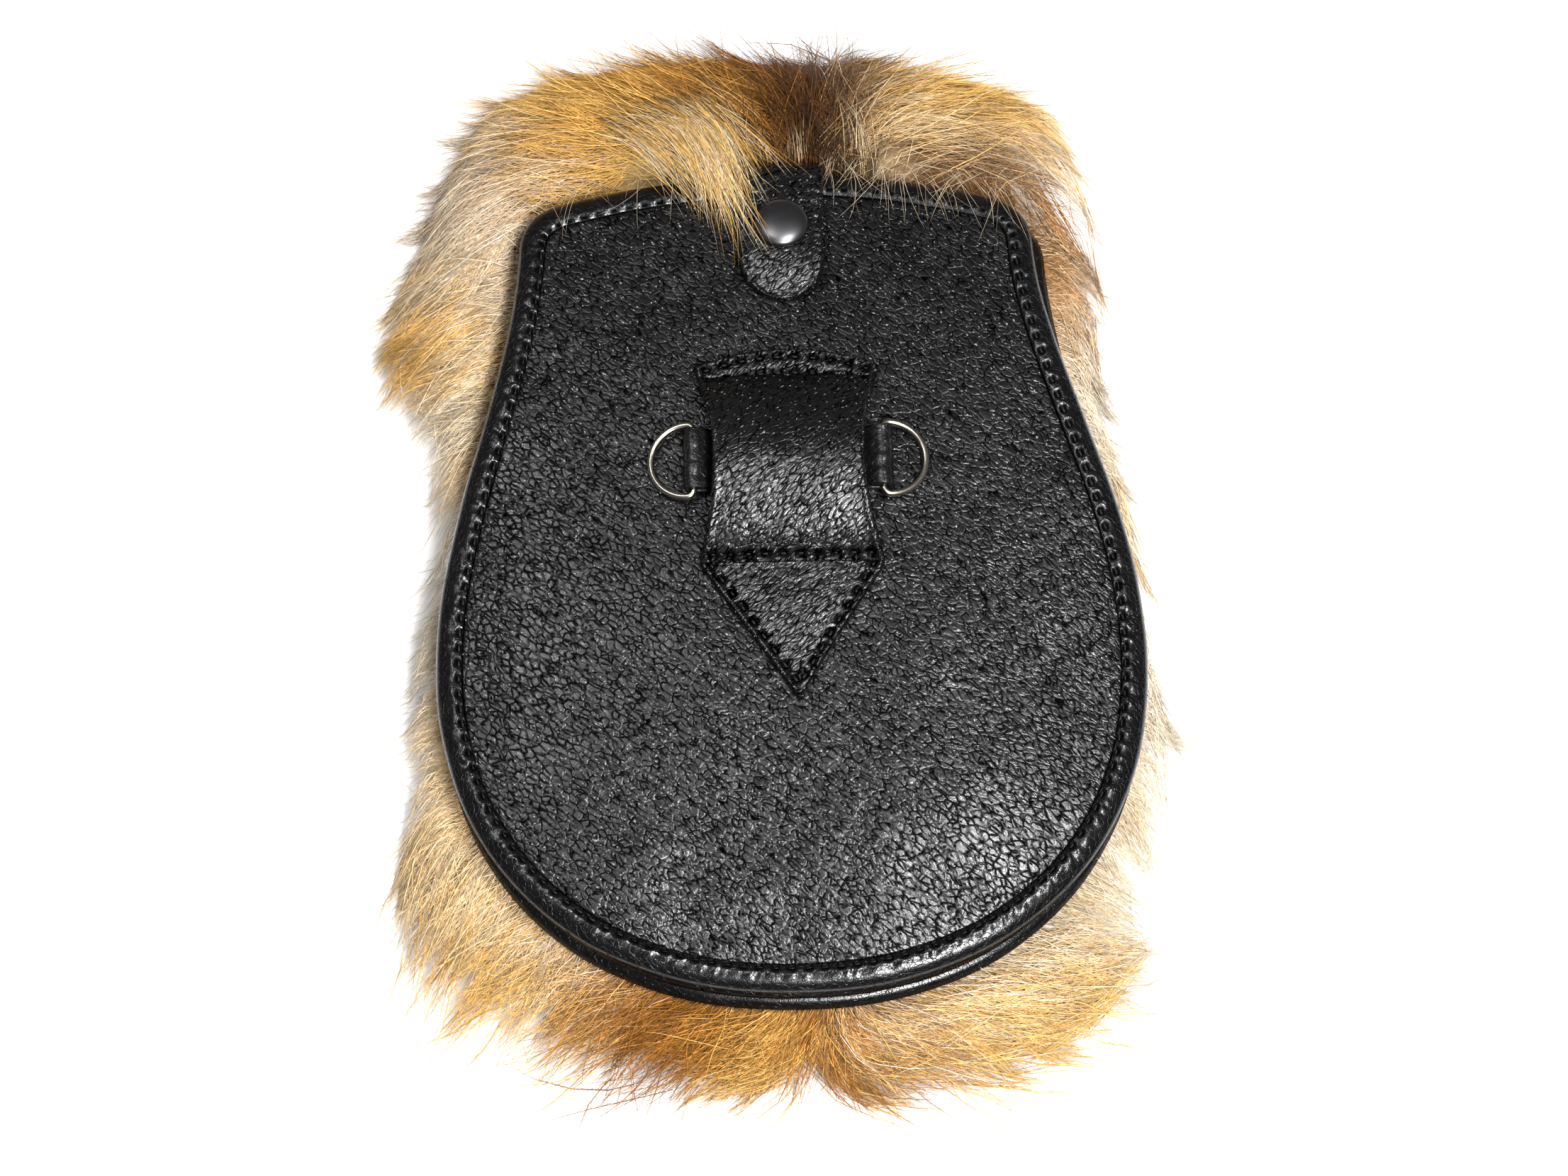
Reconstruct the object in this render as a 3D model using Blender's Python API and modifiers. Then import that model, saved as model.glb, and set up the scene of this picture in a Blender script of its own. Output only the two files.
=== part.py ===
"""A fur-fronted leather sporran pouch, lying face down on its fur.

The pouch's own axis runs along Y, with the mouth at +Y. Its black leather back looks up, along +Z, and
its fur lies on the ground at z = 0. Sizes are in metres. Neighbouring pieces keep a gap of 0.3 mm.
"""

import math

import bmesh
import bpy
import numpy as np
from mathutils import Vector

GAP = 0.0003
LEATHER = 0.0020
PLACE = Vector((0.0064, -0.0195, 0.0))  # the pouch's own centre, with the whole centred on the origin

# The pouch's outline, seen from behind
WIDEST_Y = -0.0200
HALF_WIDEST = 0.0969
FOOT_DEPTH = 0.0925
FOOT_POWER = 2.2
HALF_MOUTH = 0.0749
NECK_Y = 0.1050
TOP_Y = 0.1226
TOP_SAG = 0.0118
CORNER = 0.0120
RIM_POINTS = 64
BACK_RINGS = (1, 0.8, 0.6, 0.4, 0.2)  # the back panel's rings of points, as shares of its outline
FRONT_RINGS = (1, 0.6)
BEND_WEIGHT = 0.012  # metres of rim that one radian of turning counts for when points are spread
RIGHT_SLIP = 0.0045  # how far the back panel's right edge stands in from the front's, at the mouth
FRONT_DROP = 0.0025  # how far the front's foot reaches past the back's

# Heights
FUR_TOP = 0.0180
BACK_EDGE_Z = 0.0345
BACK_RISE = 0.0065
DOME_HALF_WIDTH = 0.0970
DOME_HALF_LENGTH = 0.1180
DOME_Y = 0.0050
SWELL_COLUMNS = ("x", "y", "rise", "spread_x", "spread_y")
SWELLS = (
    (-0.0640, -0.0250, 0.0010, 0.018, 0.042),
    (0.0440, -0.0640, 0.0016, 0.026, 0.022),
    (-0.0050, -0.0780, -0.0006, 0.020, 0.022),
)

# Rolled borders and the gusset
BORDER_HALF_WIDTH = 0.0036
BORDER_HALF_HEIGHT = 0.0026
BORDER_SIDES = 8
BORDER_SQUARENESS = 2.6
GUSSET_WALL = 0.0016
GUSSET_INSET = 0.0036
GUSSET_TUCK = 0.0030
GUSSET_TOP_Y = 0.1040

# Closing tab and press stud
TAB_X = -0.0006
TAB_HALF_WIDTH = 0.0122
TAB_THICKNESS = 0.0024
TAB_TIP_Y = 0.0816
TAB_OUT = 0.0004
TAB_TIP_TURNS = (10, 30, 50, 70)
TAB_SECTIONS = 18
STUD_Y = 0.1028
STUD_CAP_RADIUS = 0.0075
STUD_CAP_HEIGHT = 0.0030
STUD_POST_RADIUS = 0.0020
STUD_SOCKET_RADIUS = 0.0052
STUD_LIFT = 0.0028  # height of the tab's underside over the back panel at the stud
STUD_HEM = 0.0006  # height of the cap's upright rim
STUD_UNDERCUT = 0.0004
STUD_HOLE_LENGTH = 0.0200
STUD_STEPS = 24

# Belt loop
LOOP_THICKNESS = 0.0022
LOOP_TOP_ARC = 0.0050
LOOP_ARCH = 0.0106
LOOP_ARCH_TOP_Y = 0.0570
LOOP_ARCH_FOOT_Y = 0.0045
LOOP_TIP_SHIFT = 0.0016
LOOP_COLUMNS = ("y", "half_width")
LOOP_ROWS = (
    (0.0612, 0.0256),
    (0.0590, 0.0253),
    (0.0565, 0.0248),
    (0.0520, 0.0237),
    (0.0460, 0.0222),
    (0.0400, 0.0210),
    (0.0340, 0.0205),
    (0.0280, 0.0206),
    (0.0220, 0.0212),
    (0.0160, 0.0223),
    (0.0100, 0.0238),
    (0.0060, 0.0250),
    (0.0035, 0.0256),
    (-0.0090, 0.0172),
    (-0.0210, 0.0091),
    (-0.0335, 0.0009),
)

# D-rings and the strap that holds them
WIRE_RADIUS = 0.0010
RING_HALF_SPAN = 0.01035
RING_REACH = 0.0120
RING_CORNER = 0.0018
RING_Y = 0.0330
BAR_X = 0.0260
ROLL_RADIUS = 0.0029
RING_STRAP_WIDTH = 0.0176
RING_STRAP_Y = 0.0332
RING_STRAP_HEIGHT = 0.0032

# Fur: the outer form seen from behind, one row for each direction from the fur's middle
FUR_MIDDLE = (-0.0015, 0.0120)
FUR_COLUMNS = ("direction_deg", "reach", "lean_deg")
FUR_ROWS = (
    (0, 0.098, -30),
    (30, 0.104, -20),
    (45, 0.125, -28),
    (60, 0.157, -28),
    (75, 0.162, -18),
    (90, 0.159, 5),
    (105, 0.164, 25),
    (120, 0.167, 38),
    (135, 0.147, 38),
    (152, 0.137, 42),
    (162, 0.106, 40),
    (180, 0.097, 38),
    (210, 0.120, 25),
    (225, 0.146, 15),
    (240, 0.155, 8),
    (270, 0.146, 2),
    (300, 0.152, 4),
    (315, 0.131, 6),
    (330, 0.118, 0),
    (345, 0.105, -15),
)
FUR_CORE_IN = 0.022  # how far the solid pelt stands in from the tips of its locks
FUR_CORE_SIDES = 44
FUR_UNDERSIDE = 0.0035
FUR_BRIM = 0.0176
LOCK_COLUMNS = ("count", "turn_deg", "set_in", "length", "width", "thickness", "root_z", "crest_z", "tip_z")
LOCK_ROWS = (
    (44, 0.0, 0.000, 0.050, 0.024, 0.0100, 0.0080, 0.0080, 0.0045),
    (36, 4.0, 0.006, 0.054, 0.026, 0.0110, 0.0130, 0.0190, 0.0125),
)
UNDER_COLUMNS = ("y", "locks", "spacing")
UNDER_ROWS = ((0.128, 5, 0.034), (0.072, 5, 0.033), (0.016, 4, 0.038), (-0.040, 5, 0.036))
UNDER_LENGTH = 0.082
UNDER_WIDTH = 0.038
UNDER_THICKNESS = 0.0075
UNDER_HEIGHTS = (0.0050, 0.0026, 0.0012)
UNDER_FAN_DEG = 9
LOCK_SEED = 4
CUT_TOP = 0.0800  # cutters reach up past the whole pouch
TAB_ROOM = 0.0013


def table(columns, rows):
    """The rows as a dictionary of one array for each named column."""
    return dict(zip(columns, np.array(rows, float).T))


def clear_scene():
    for old in list(bpy.data.objects):
        bpy.data.objects.remove(old, do_unlink=True)


def new_collection(name):
    collection = bpy.data.collections.new(name)
    bpy.context.scene.collection.children.link(collection)
    return collection


def finish(name, colour, roughness, metallic=0.0):
    material = bpy.data.materials.new(name)
    material.use_nodes = True
    shader = material.node_tree.nodes["Principled BSDF"]
    shader.inputs["Base Color"].default_value = (*colour, 1.0)
    shader.inputs["Roughness"].default_value = roughness
    shader.inputs["Metallic"].default_value = metallic
    return material


def add_object(name, mesh, collection, material=None):
    thing = bpy.data.objects.new(name, mesh)
    collection.objects.link(thing)
    if material:
        mesh.materials.append(material)
        mesh.shade_smooth()
        mesh.set_sharp_from_angle(angle=math.radians(40))
    return thing


def make_mesh(name, points, faces):
    mesh = bpy.data.meshes.new(name)
    mesh.from_pydata([tuple(point) for point in points], [], faces)
    mesh.validate()
    return mesh


def add_cutter(name, mesh, cutters):
    cutter = add_object(name, mesh, cutters)
    cutter.hide_render = True
    cutter.display_type = "WIRE"
    return cutter


def combine(thing, other, operation, own_folds=False):
    modifier = thing.modifiers.new(other.name, "BOOLEAN")
    modifier.operation = operation
    modifier.solver = "EXACT"
    modifier.use_self = own_folds
    modifier.object = other


def smoothstep(value):
    value = np.clip(value, 0.0, 1.0)
    return value * value * (3.0 - 2.0 * value)


def smooth_path(points, count):
    """Points spread evenly by their own number along a Catmull-Rom curve through the given ones."""
    points = np.array(points, float)
    padded = np.vstack([2 * points[0] - points[1], points, 2 * points[-1] - points[-2]])
    place = np.linspace(0, len(points) - 1, count)
    step = np.minimum(place.astype(int), len(points) - 2)
    part = (place - step)[:, None]
    before, start, end, after = (padded[step + shift] for shift in range(4))
    return 0.5 * (
        2 * start
        + (end - before) * part
        + (2 * before - 5 * start + 4 * end - after) * part**2
        + (3 * start - before - 3 * end + after) * part**3
    )


def half_width(y):
    """Half the pouch's width above its widest line, where it narrows smoothly up to the neck."""
    narrowing = smoothstep((y - WIDEST_Y) / (NECK_Y - WIDEST_Y))
    return HALF_WIDEST - (HALF_WIDEST - HALF_MOUTH) * narrowing


def top_edge(x):
    return TOP_Y - TOP_SAG * (x / HALF_MOUTH) ** 2


def half_outline():
    """The outline's right half, from the middle of the mouth round to the foot, as many close points."""
    across = np.linspace(0, HALF_MOUTH - CORNER, 60)
    top = np.column_stack([across, top_edge(across)])
    corner = np.array([HALF_MOUTH, top_edge(HALF_MOUTH)])
    below = corner[1] - CORNER
    turn = np.linspace(0, 1, 30)[1:, None]
    bend = (1 - turn) ** 2 * top[-1] + 2 * turn * (1 - turn) * corner + turn**2 * (half_width(below), below)
    down = np.linspace(below, WIDEST_Y, 120)[1:]
    side = np.column_stack([half_width(down), down])
    sweep = np.linspace(0, math.pi / 2, 120)[1:]
    foot_x = HALF_WIDEST * np.cos(sweep).clip(0) ** (2 / FOOT_POWER)
    foot_y = WIDEST_Y - FOOT_DEPTH * np.sin(sweep) ** (2 / FOOT_POWER)
    return np.vstack([top, bend, side, np.column_stack([foot_x, foot_y])])


def outline(slip=0.0, drop=0.0):
    """The closed outline, counter-clockwise from the middle of the mouth, closer together round bends."""
    dense = half_outline()
    steps = np.diff(dense, axis=0)
    headings = np.unwrap(np.arctan2(steps[:, 1], steps[:, 0]))
    turning = np.abs(np.diff(headings, prepend=headings[0]))
    spread = np.concatenate([[0], np.cumsum(np.hypot(*steps.T) + BEND_WEIGHT * turning)])
    wanted = np.linspace(0, spread[-1], RIM_POINTS // 2 + 1)
    right = np.column_stack([np.interp(wanted, spread, dense[:, axis]) for axis in (0, 1)])
    left = right * (-1, 1)
    loop = np.vstack([left, right[-2:0:-1]])
    side = np.clip(loop[:, 0] / HALF_MOUTH, 0, 1)
    loop[:, 0] -= slip * side * smoothstep(loop[:, 1] / NECK_Y)
    loop[:, 1] -= drop * smoothstep(-loop[:, 1] / (FOOT_DEPTH - WIDEST_Y))
    return loop


def outward(loop):
    """The outward direction at each point of a closed counter-clockwise loop."""
    along = np.roll(loop, -1, axis=0) - np.roll(loop, 1, axis=0)
    along /= np.linalg.norm(along, axis=1)[:, None]
    return np.column_stack([along[:, 1], -along[:, 0]])


def back_height(x, y):
    """Height of the back panel's upper face: a broad dome with a few soft swells and hollows."""
    across = 1 - np.clip(np.abs(x) / DOME_HALF_WIDTH, 0, 1) ** 2.4
    along = 1 - np.clip(np.abs(y - DOME_Y) / DOME_HALF_LENGTH, 0, 1) ** 2.6
    height = BACK_EDGE_Z + BACK_RISE * across * along
    for row in SWELLS:
        swell = dict(zip(SWELL_COLUMNS, row))
        far = ((x - swell["x"]) / swell["spread_x"]) ** 2 + ((y - swell["y"]) / swell["spread_y"]) ** 2
        height = height + swell["rise"] * np.exp(-far / 2)
    return height


def panel_sheet(name, loop, height, scales):
    """An open sheet inside a loop: rings that shrink towards the middle, and a point there."""
    middle = np.array([0.0, loop[:, 1].mean()])
    rings = [middle + (loop - middle) * scale for scale in scales]
    flat = np.vstack([*rings, middle[None]])
    points = np.column_stack([flat, height(flat[:, 0], flat[:, 1])])
    count = len(loop)
    faces = []
    for ring in range(len(scales) - 1):
        for index in range(count):
            following = (index + 1) % count
            here, inner = ring * count, (ring + 1) * count
            faces.append((here + index, here + following, inner + following, inner + index))
    last = (len(scales) - 1) * count
    faces += [(last + index, last + (index + 1) % count, len(flat) - 1) for index in range(count)]
    return make_mesh(name, points, faces)


def grid_faces(rows, columns, closed_rows=False, closed_columns=False):
    """Quads between neighbouring points of a grid, whose rows and columns may close on themselves."""
    faces = []
    for row in range(rows if closed_rows else rows - 1):
        for column in range(columns if closed_columns else columns - 1):
            here, beyond = row * columns, (row + 1) % rows * columns
            beside = (column + 1) % columns
            faces.append((here + column, beyond + column, beyond + beside, here + beside))
    return faces


def thicken(thing, thickness, offset):
    modifier = thing.modifiers.new("thickness", "SOLIDIFY")
    modifier.thickness = thickness
    modifier.offset = offset


def border_ring(name, loop, middle_z):
    """A rolled border: a rounded oblong section carried round the inside of a loop."""
    turn = np.arange(BORDER_SIDES) * 2 * math.pi / BORDER_SIDES + math.pi / BORDER_SIDES
    rounding = 2 / BORDER_SQUARENESS
    out = BORDER_HALF_WIDTH * np.sign(np.cos(turn)) * np.abs(np.cos(turn)) ** rounding
    rise = BORDER_HALF_HEIGHT * np.sign(np.sin(turn)) * np.abs(np.sin(turn)) ** rounding
    normals = outward(loop)
    centre = loop - normals * BORDER_HALF_WIDTH
    flat = centre[:, None, :] + normals[:, None, :] * out[None, :, None]
    high = middle_z[:, None] + rise[None, :]
    points = np.concatenate([flat, high[:, :, None]], axis=2).reshape(-1, 3)
    faces = grid_faces(len(loop), BORDER_SIDES, closed_rows=True, closed_columns=True)
    return make_mesh(name, points, faces)


def make_back(parts, leather, border_leather):
    loop = outline(slip=RIGHT_SLIP)
    inner = loop - outward(loop) * (2 * BORDER_HALF_WIDTH + GAP)
    sheet = panel_sheet("back_panel", inner, back_height, BACK_RINGS)
    thicken(add_object("back_panel", sheet, parts, leather), LEATHER, -1)
    middle_z = back_height(loop[:, 0], loop[:, 1]) - LEATHER / 2
    add_object("back_binding", border_ring("back_binding", loop, middle_z), parts, border_leather)


def make_front(parts, leather, border_leather):
    loop = outline(drop=FRONT_DROP)
    inner = loop - outward(loop) * (2 * BORDER_HALF_WIDTH + GAP)
    under = FUR_TOP + GAP
    sheet = panel_sheet("front_panel", inner, lambda x, y: np.full(len(x), under + LEATHER), FRONT_RINGS)
    thicken(add_object("front_panel", sheet, parts, leather), LEATHER, -1)
    middle_z = np.full(len(loop), under + BORDER_HALF_HEIGHT)
    add_object("front_binding", border_ring("front_binding", loop, middle_z), parts, border_leather)


def make_gusset(parts, leather):
    """The side wall from one side of the mouth round the foot to the other, tucked in at half height."""
    front, back = outline(drop=FRONT_DROP), outline(slip=RIGHT_SLIP)
    keep = (back[:, 1] < GUSSET_TOP_Y).nonzero()[0]
    away = outward(back)[keep]
    low = (front - outward(front) * GUSSET_INSET)[keep]
    high = (back - outward(back) * GUSSET_INSET)[keep]
    low_z = FUR_TOP + 2 * GAP + 2 * BORDER_HALF_HEIGHT
    high_z = back_height(*back[keep].T) - LEATHER / 2 - BORDER_HALF_HEIGHT - GAP
    outer, inner = [], []
    for share in (0.0, 0.3, 0.7, 1.0):
        middle = low + (high - low) * share - away * GUSSET_TUCK * math.sin(math.pi * share)
        height = (low_z + (high_z - low_z) * share)[:, None]
        outer.append(np.hstack([middle + away * GUSSET_WALL / 2, height]))
        inner.append(np.hstack([middle - away * GUSSET_WALL / 2, height]))
    sections = np.stack(outer + inner[::-1], axis=1)
    count, sides = sections.shape[:2]
    faces = grid_faces(count, sides, closed_columns=True)
    faces += [tuple(range(sides)), tuple(reversed(range((count - 1) * sides, count * sides)))]
    add_object("gusset", make_mesh("gusset", sections.reshape(-1, 3), faces), parts, leather)


def tab_line():
    """The tab's underside from its tip on the back, over the mouth, to its root by the front panel.

    It gives the points, and how far each is from the tip, with more sections round the tip.
    """
    border_top = back_height(0, TOP_Y) - LEATHER / 2 + BORDER_HALF_HEIGHT
    behind = TOP_Y + TAB_OUT
    lying = [(y, back_height(0, y) + STUD_LIFT) for y in (0.1060, 0.0950, TAB_TIP_Y)]
    line = smooth_path(
        [
            (behind, FUR_TOP + 2 * GAP),
            (behind + 0.0004, FUR_TOP + 0.0060),
            (behind + 0.0014, border_top - 0.0060),
            (behind - 0.0004, border_top - 0.0010),
            (TOP_Y - BORDER_HALF_WIDTH, border_top + 0.0015),
            *lying,
        ],
        240,
    )[::-1]
    far = np.concatenate([[0], np.cumsum(np.linalg.norm(np.diff(line, axis=0), axis=1))])
    round_tip = TAB_HALF_WIDTH * (1 - np.cos(np.radians(TAB_TIP_TURNS)))
    wanted = np.concatenate([round_tip, np.linspace(TAB_HALF_WIDTH, far[-1], TAB_SECTIONS)])
    line = np.column_stack([np.interp(wanted, far, line[:, 0]), np.interp(wanted, far, line[:, 1])])
    return line, wanted


def set_on_stud_axis(thing):
    """Stands a turned piece on the back panel at the stud, square to the panel's slope."""
    slope = (back_height(0, STUD_Y + 0.005) - back_height(0, STUD_Y - 0.005)) / 0.010
    thing.location = (TAB_X, STUD_Y, back_height(TAB_X, STUD_Y) + GAP)
    thing.rotation_euler.x = math.atan(slope)


def make_tab(parts, cutters, leather):
    line, from_tip = tab_line()
    widths = TAB_HALF_WIDTH * np.sqrt(1 - (1 - from_tip / TAB_HALF_WIDTH).clip(0) ** 2)
    across = np.linspace(-1, 1, 5)
    x = TAB_X + widths[:, None] * across
    points = np.stack([x, line[:, :1] + 0 * x, line[:, 1:] + 0 * x], axis=2).reshape(-1, 3)
    mesh = make_mesh("closure_tab", points, grid_faces(len(line), len(across)))
    tab = add_object("closure_tab", mesh, parts, leather)
    thicken(tab, TAB_THICKNESS, -1)
    shape = bmesh.new()
    bore = STUD_POST_RADIUS + GAP
    bmesh.ops.create_cone(
        shape, cap_ends=True, segments=20, radius1=bore, radius2=bore, depth=STUD_HOLE_LENGTH
    )
    bore_mesh = bpy.data.meshes.new("stud_hole")
    shape.to_mesh(bore_mesh)
    shape.free()
    hole = add_cutter("stud_hole", bore_mesh, cutters)
    set_on_stud_axis(hole)
    combine(tab, hole, "DIFFERENCE")


def make_stud(parts, metal):
    """Domed cap, post and socket, turned as one piece."""
    under_tab = STUD_LIFT - 2 * GAP
    over_tab = STUD_LIFT + TAB_THICKNESS + GAP
    dome = [
        (STUD_CAP_RADIUS * math.sin(turn), over_tab + STUD_HEM + (STUD_CAP_HEIGHT - STUD_HEM) * math.cos(turn))
        for turn in np.radians((0, 22, 44, 66, 90))
    ]
    profile = dome + [
        (STUD_CAP_RADIUS - STUD_UNDERCUT, over_tab),
        (STUD_POST_RADIUS, over_tab),
        (STUD_POST_RADIUS, under_tab),
        (STUD_SOCKET_RADIUS, under_tab),
        (STUD_SOCKET_RADIUS, 0.0),
        (0.0, 0.0),
    ]
    mesh = bpy.data.meshes.new("press_stud")
    edges = [(index, index + 1) for index in range(len(profile) - 1)]
    mesh.from_pydata([(radius, 0, height) for radius, height in profile], edges, [])
    stud = add_object("press_stud", mesh, parts, metal)
    set_on_stud_axis(stud)
    turned = stud.modifiers.new("turned", "SCREW")
    turned.steps = turned.render_steps = STUD_STEPS
    turned.use_merge_vertices = True
    turned.merge_threshold = 0.00001


def make_belt_loop(parts, leather):
    """An hourglass strap that follows the back panel where it is sewn, and arches off it between."""
    rows = table(LOOP_COLUMNS, LOOP_ROWS)
    across = np.linspace(-1, 1, 7)
    y = rows["y"][:, None] + 0 * across
    top_share = smoothstep((rows["y"] - 0.0400) / (rows["y"][0] - 0.0400))[:, None]
    y = y + LOOP_TOP_ARC * top_share * (1 - across**2)
    drift = LOOP_TIP_SHIFT * np.clip((0.030 - rows["y"]) / 0.0635, 0, 1)
    x = drift[:, None] + rows["half_width"][:, None] * across
    part = np.clip((LOOP_ARCH_TOP_Y - y) / (LOOP_ARCH_TOP_Y - LOOP_ARCH_FOOT_Y), 0, 1)
    arch = LOOP_ARCH * np.sin(math.pi * part).clip(0) ** 0.8
    points = np.stack([x, y, back_height(x, y) + GAP + arch], axis=2).reshape(-1, 3)
    mesh = make_mesh("belt_loop", points, grid_faces(len(y), len(across)))
    thicken(add_object("belt_loop", mesh, parts, leather), LOOP_THICKNESS, 1)


def strap_base():
    return float(back_height(0, RING_STRAP_Y)) + GAP


def make_ring_strap(parts, leather):
    """The strap's side outline with its two rolls, drawn flat and carried along the rings' bars."""
    rolled = np.radians(np.linspace(-90, 110, 9))
    right = [(BAR_X + ROLL_RADIUS * math.cos(a), ROLL_RADIUS + ROLL_RADIUS * math.sin(a)) for a in rolled]
    right.append((BAR_X - 2 * ROLL_RADIUS, RING_STRAP_HEIGHT))
    outer = right + [(-x, z) for x, z in reversed(right)]
    turns = np.radians(np.arange(0, 360, 30))
    bore = WIRE_RADIUS + GAP
    circle = [(bore * math.cos(a), ROLL_RADIUS + bore * math.sin(a)) for a in turns]
    holes = [[(side * BAR_X + x, z) for x, z in circle] for side in (-1, 1)]
    curve = bpy.data.curves.new("ring_strap", "CURVE")
    curve.dimensions = "2D"
    curve.fill_mode = "BOTH"
    curve.extrude = RING_STRAP_WIDTH / 2
    for corners in (outer, *holes):
        spline = curve.splines.new("POLY")
        spline.points.add(len(corners) - 1)
        for point, (x, z) in zip(spline.points, corners):
            point.co = (x, z, 0, 1)
        spline.use_cyclic_u = True
    strap = bpy.data.objects.new("ring_strap", curve)
    curve.materials.append(leather)
    parts.objects.link(strap)
    strap.rotation_euler.x = math.pi / 2
    strap.location = (0, RING_STRAP_Y, strap_base())


def ring_tilt():
    """How far the ring's plane slopes down from its bar, so that its outer end lies just on the panel."""
    far = BAR_X + RING_REACH
    rest_z = float(back_height(far, RING_Y)) + WIRE_RADIUS + 2 * GAP
    return math.asin((strap_base() + ROLL_RADIUS - rest_z) / RING_REACH)


def make_d_ring(name, side, parts, metal):
    """A wire D with its straight bar on the object's own Y axis, in a roll of the ring strap."""
    arc_x = RING_REACH - RING_HALF_SPAN
    arc = np.radians(np.linspace(-90, 90, 17))
    route = [(arc_x + RING_HALF_SPAN * math.cos(a), RING_HALF_SPAN * math.sin(a)) for a in arc]
    corner = np.radians(np.linspace(90, 180, 4))
    inner = RING_HALF_SPAN - RING_CORNER
    upper = [(RING_CORNER + RING_CORNER * math.cos(a), inner + RING_CORNER * math.sin(a)) for a in corner]
    upper = upper[1:] if arc_x <= RING_CORNER else upper
    route += upper + [(x, -y) for x, y in reversed(upper)]
    curve = bpy.data.curves.new(name, "CURVE")
    curve.dimensions = "3D"
    curve.bevel_depth = WIRE_RADIUS
    curve.bevel_resolution = 2
    spline = curve.splines.new("POLY")
    spline.points.add(len(route) - 1)
    for point, (x, y) in zip(spline.points, route):
        point.co = (x, y, 0, 1)
    spline.use_cyclic_u = True
    curve.materials.append(metal)
    pivot = bpy.data.objects.new(name + "_pivot", None)
    parts.objects.link(pivot)
    pivot.location = (side * BAR_X, RING_Y, strap_base() + ROLL_RADIUS)
    pivot.rotation_euler.z = 0 if side > 0 else math.pi
    ring = bpy.data.objects.new(name, curve)
    parts.objects.link(ring)
    ring.parent = pivot
    ring.rotation_euler.y = ring_tilt()


def fur_at(direction):
    """The fur's reach and lean in a direction, in degrees, read between the table's rows."""
    rows = table(FUR_COLUMNS, FUR_ROWS)
    reach = np.interp(direction, rows["direction_deg"], rows["reach"], period=360)
    lean = np.interp(direction, rows["direction_deg"], rows["lean_deg"], period=360)
    return reach, lean


def lock_points(tip, heading, length, width, thickness, heights, bow):
    """A lock: four-sided sections along a bowed line, widest a third of the way, drawn out to a point."""
    along = np.array([math.cos(heading), math.sin(heading)])
    beside = np.array([-along[1], along[0]])
    points = []
    for share, swell in ((0.0, 0.70), (0.22, 0.95), (0.50, 1.0), (0.78, 0.55)):
        middle = tip - along * length * (1 - share) + beside * bow * math.sin(math.pi * share)
        height = np.interp(share, (0, 0.5, 1), heights)
        half, deep = width / 2 * swell, thickness / 2 * swell
        for out, up in ((1, -0.25), (0.15, 1), (-1, -0.1), (-0.1, -1)):
            points.append((*(middle + beside * out * half), height + up * deep))
    points.append((*tip, heights[2]))
    return points


def lock_faces(first):
    faces = [(first + 3, first + 2, first + 1, first)]
    for ring in range(3):
        here, beyond = first + ring * 4, first + ring * 4 + 4
        for side in range(4):
            other = (side + 1) % 4
            faces.append((here + side, here + other, beyond + other, beyond + side))
    last = first + 12
    faces += [(last + side, last + (side + 1) % 4, first + 16) for side in range(4)]
    return faces


def all_locks():
    """Rings of locks round the pelt, and rows of them on its face, hanging towards the foot."""
    chance = np.random.default_rng(LOCK_SEED)
    locks = []
    for values in LOCK_ROWS:
        row = dict(zip(LOCK_COLUMNS, values))
        for index in range(row["count"]):
            direction = (index + 0.3 * chance.uniform(-1, 1)) * 360 / row["count"] + row["turn_deg"]
            reach, lean = fur_at(direction)
            reach = reach - row["set_in"] + 0.003 * chance.uniform(-1, 1)
            angle = math.radians(direction)
            tip = np.array(FUR_MIDDLE) + reach * np.array([math.cos(angle), math.sin(angle)])
            heading = math.radians(direction + lean + chance.uniform(-9, 9))
            heights = (row["root_z"], row["crest_z"] + chance.uniform(-0.001, 0.001), row["tip_z"])
            bow = chance.uniform(-0.004, 0.004)
            locks.append((tip, heading, row["length"], row["width"], row["thickness"], heights, bow))
    for values in UNDER_ROWS:
        row = dict(zip(UNDER_COLUMNS, values))
        for index in range(row["locks"]):
            offset = index - (row["locks"] - 1) / 2
            tip = np.array([FUR_MIDDLE[0] + offset * row["spacing"], row["y"] - UNDER_LENGTH / 2])
            tip = tip + chance.uniform(-0.004, 0.004, 2)
            heading = math.radians(270 + UNDER_FAN_DEG * offset + chance.uniform(-5, 5))
            bow = chance.uniform(-0.003, 0.003)
            locks.append((tip, heading, UNDER_LENGTH, UNDER_WIDTH, UNDER_THICKNESS, UNDER_HEIGHTS, bow))
    points, faces = [], []
    for lock in locks:
        faces += lock_faces(len(points))
        points += lock_points(*lock)
    return make_mesh("fur_locks", points, faces)


def prism(name, loop, low, high):
    """An upright solid between two heights, with a loop for its outline."""
    count = len(loop)
    points = [(*point, low) for point in loop] + [(*point, high) for point in loop]
    faces = [tuple(reversed(range(count))), tuple(range(count, 2 * count))]
    faces += [(i, (i + 1) % count, count + (i + 1) % count, count + i) for i in range(count)]
    return make_mesh(name, points, faces)


def box_loop(low_x, high_x, low_y, high_y):
    return np.array([(low_x, low_y), (high_x, low_y), (high_x, high_y), (low_x, high_y)])


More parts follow.
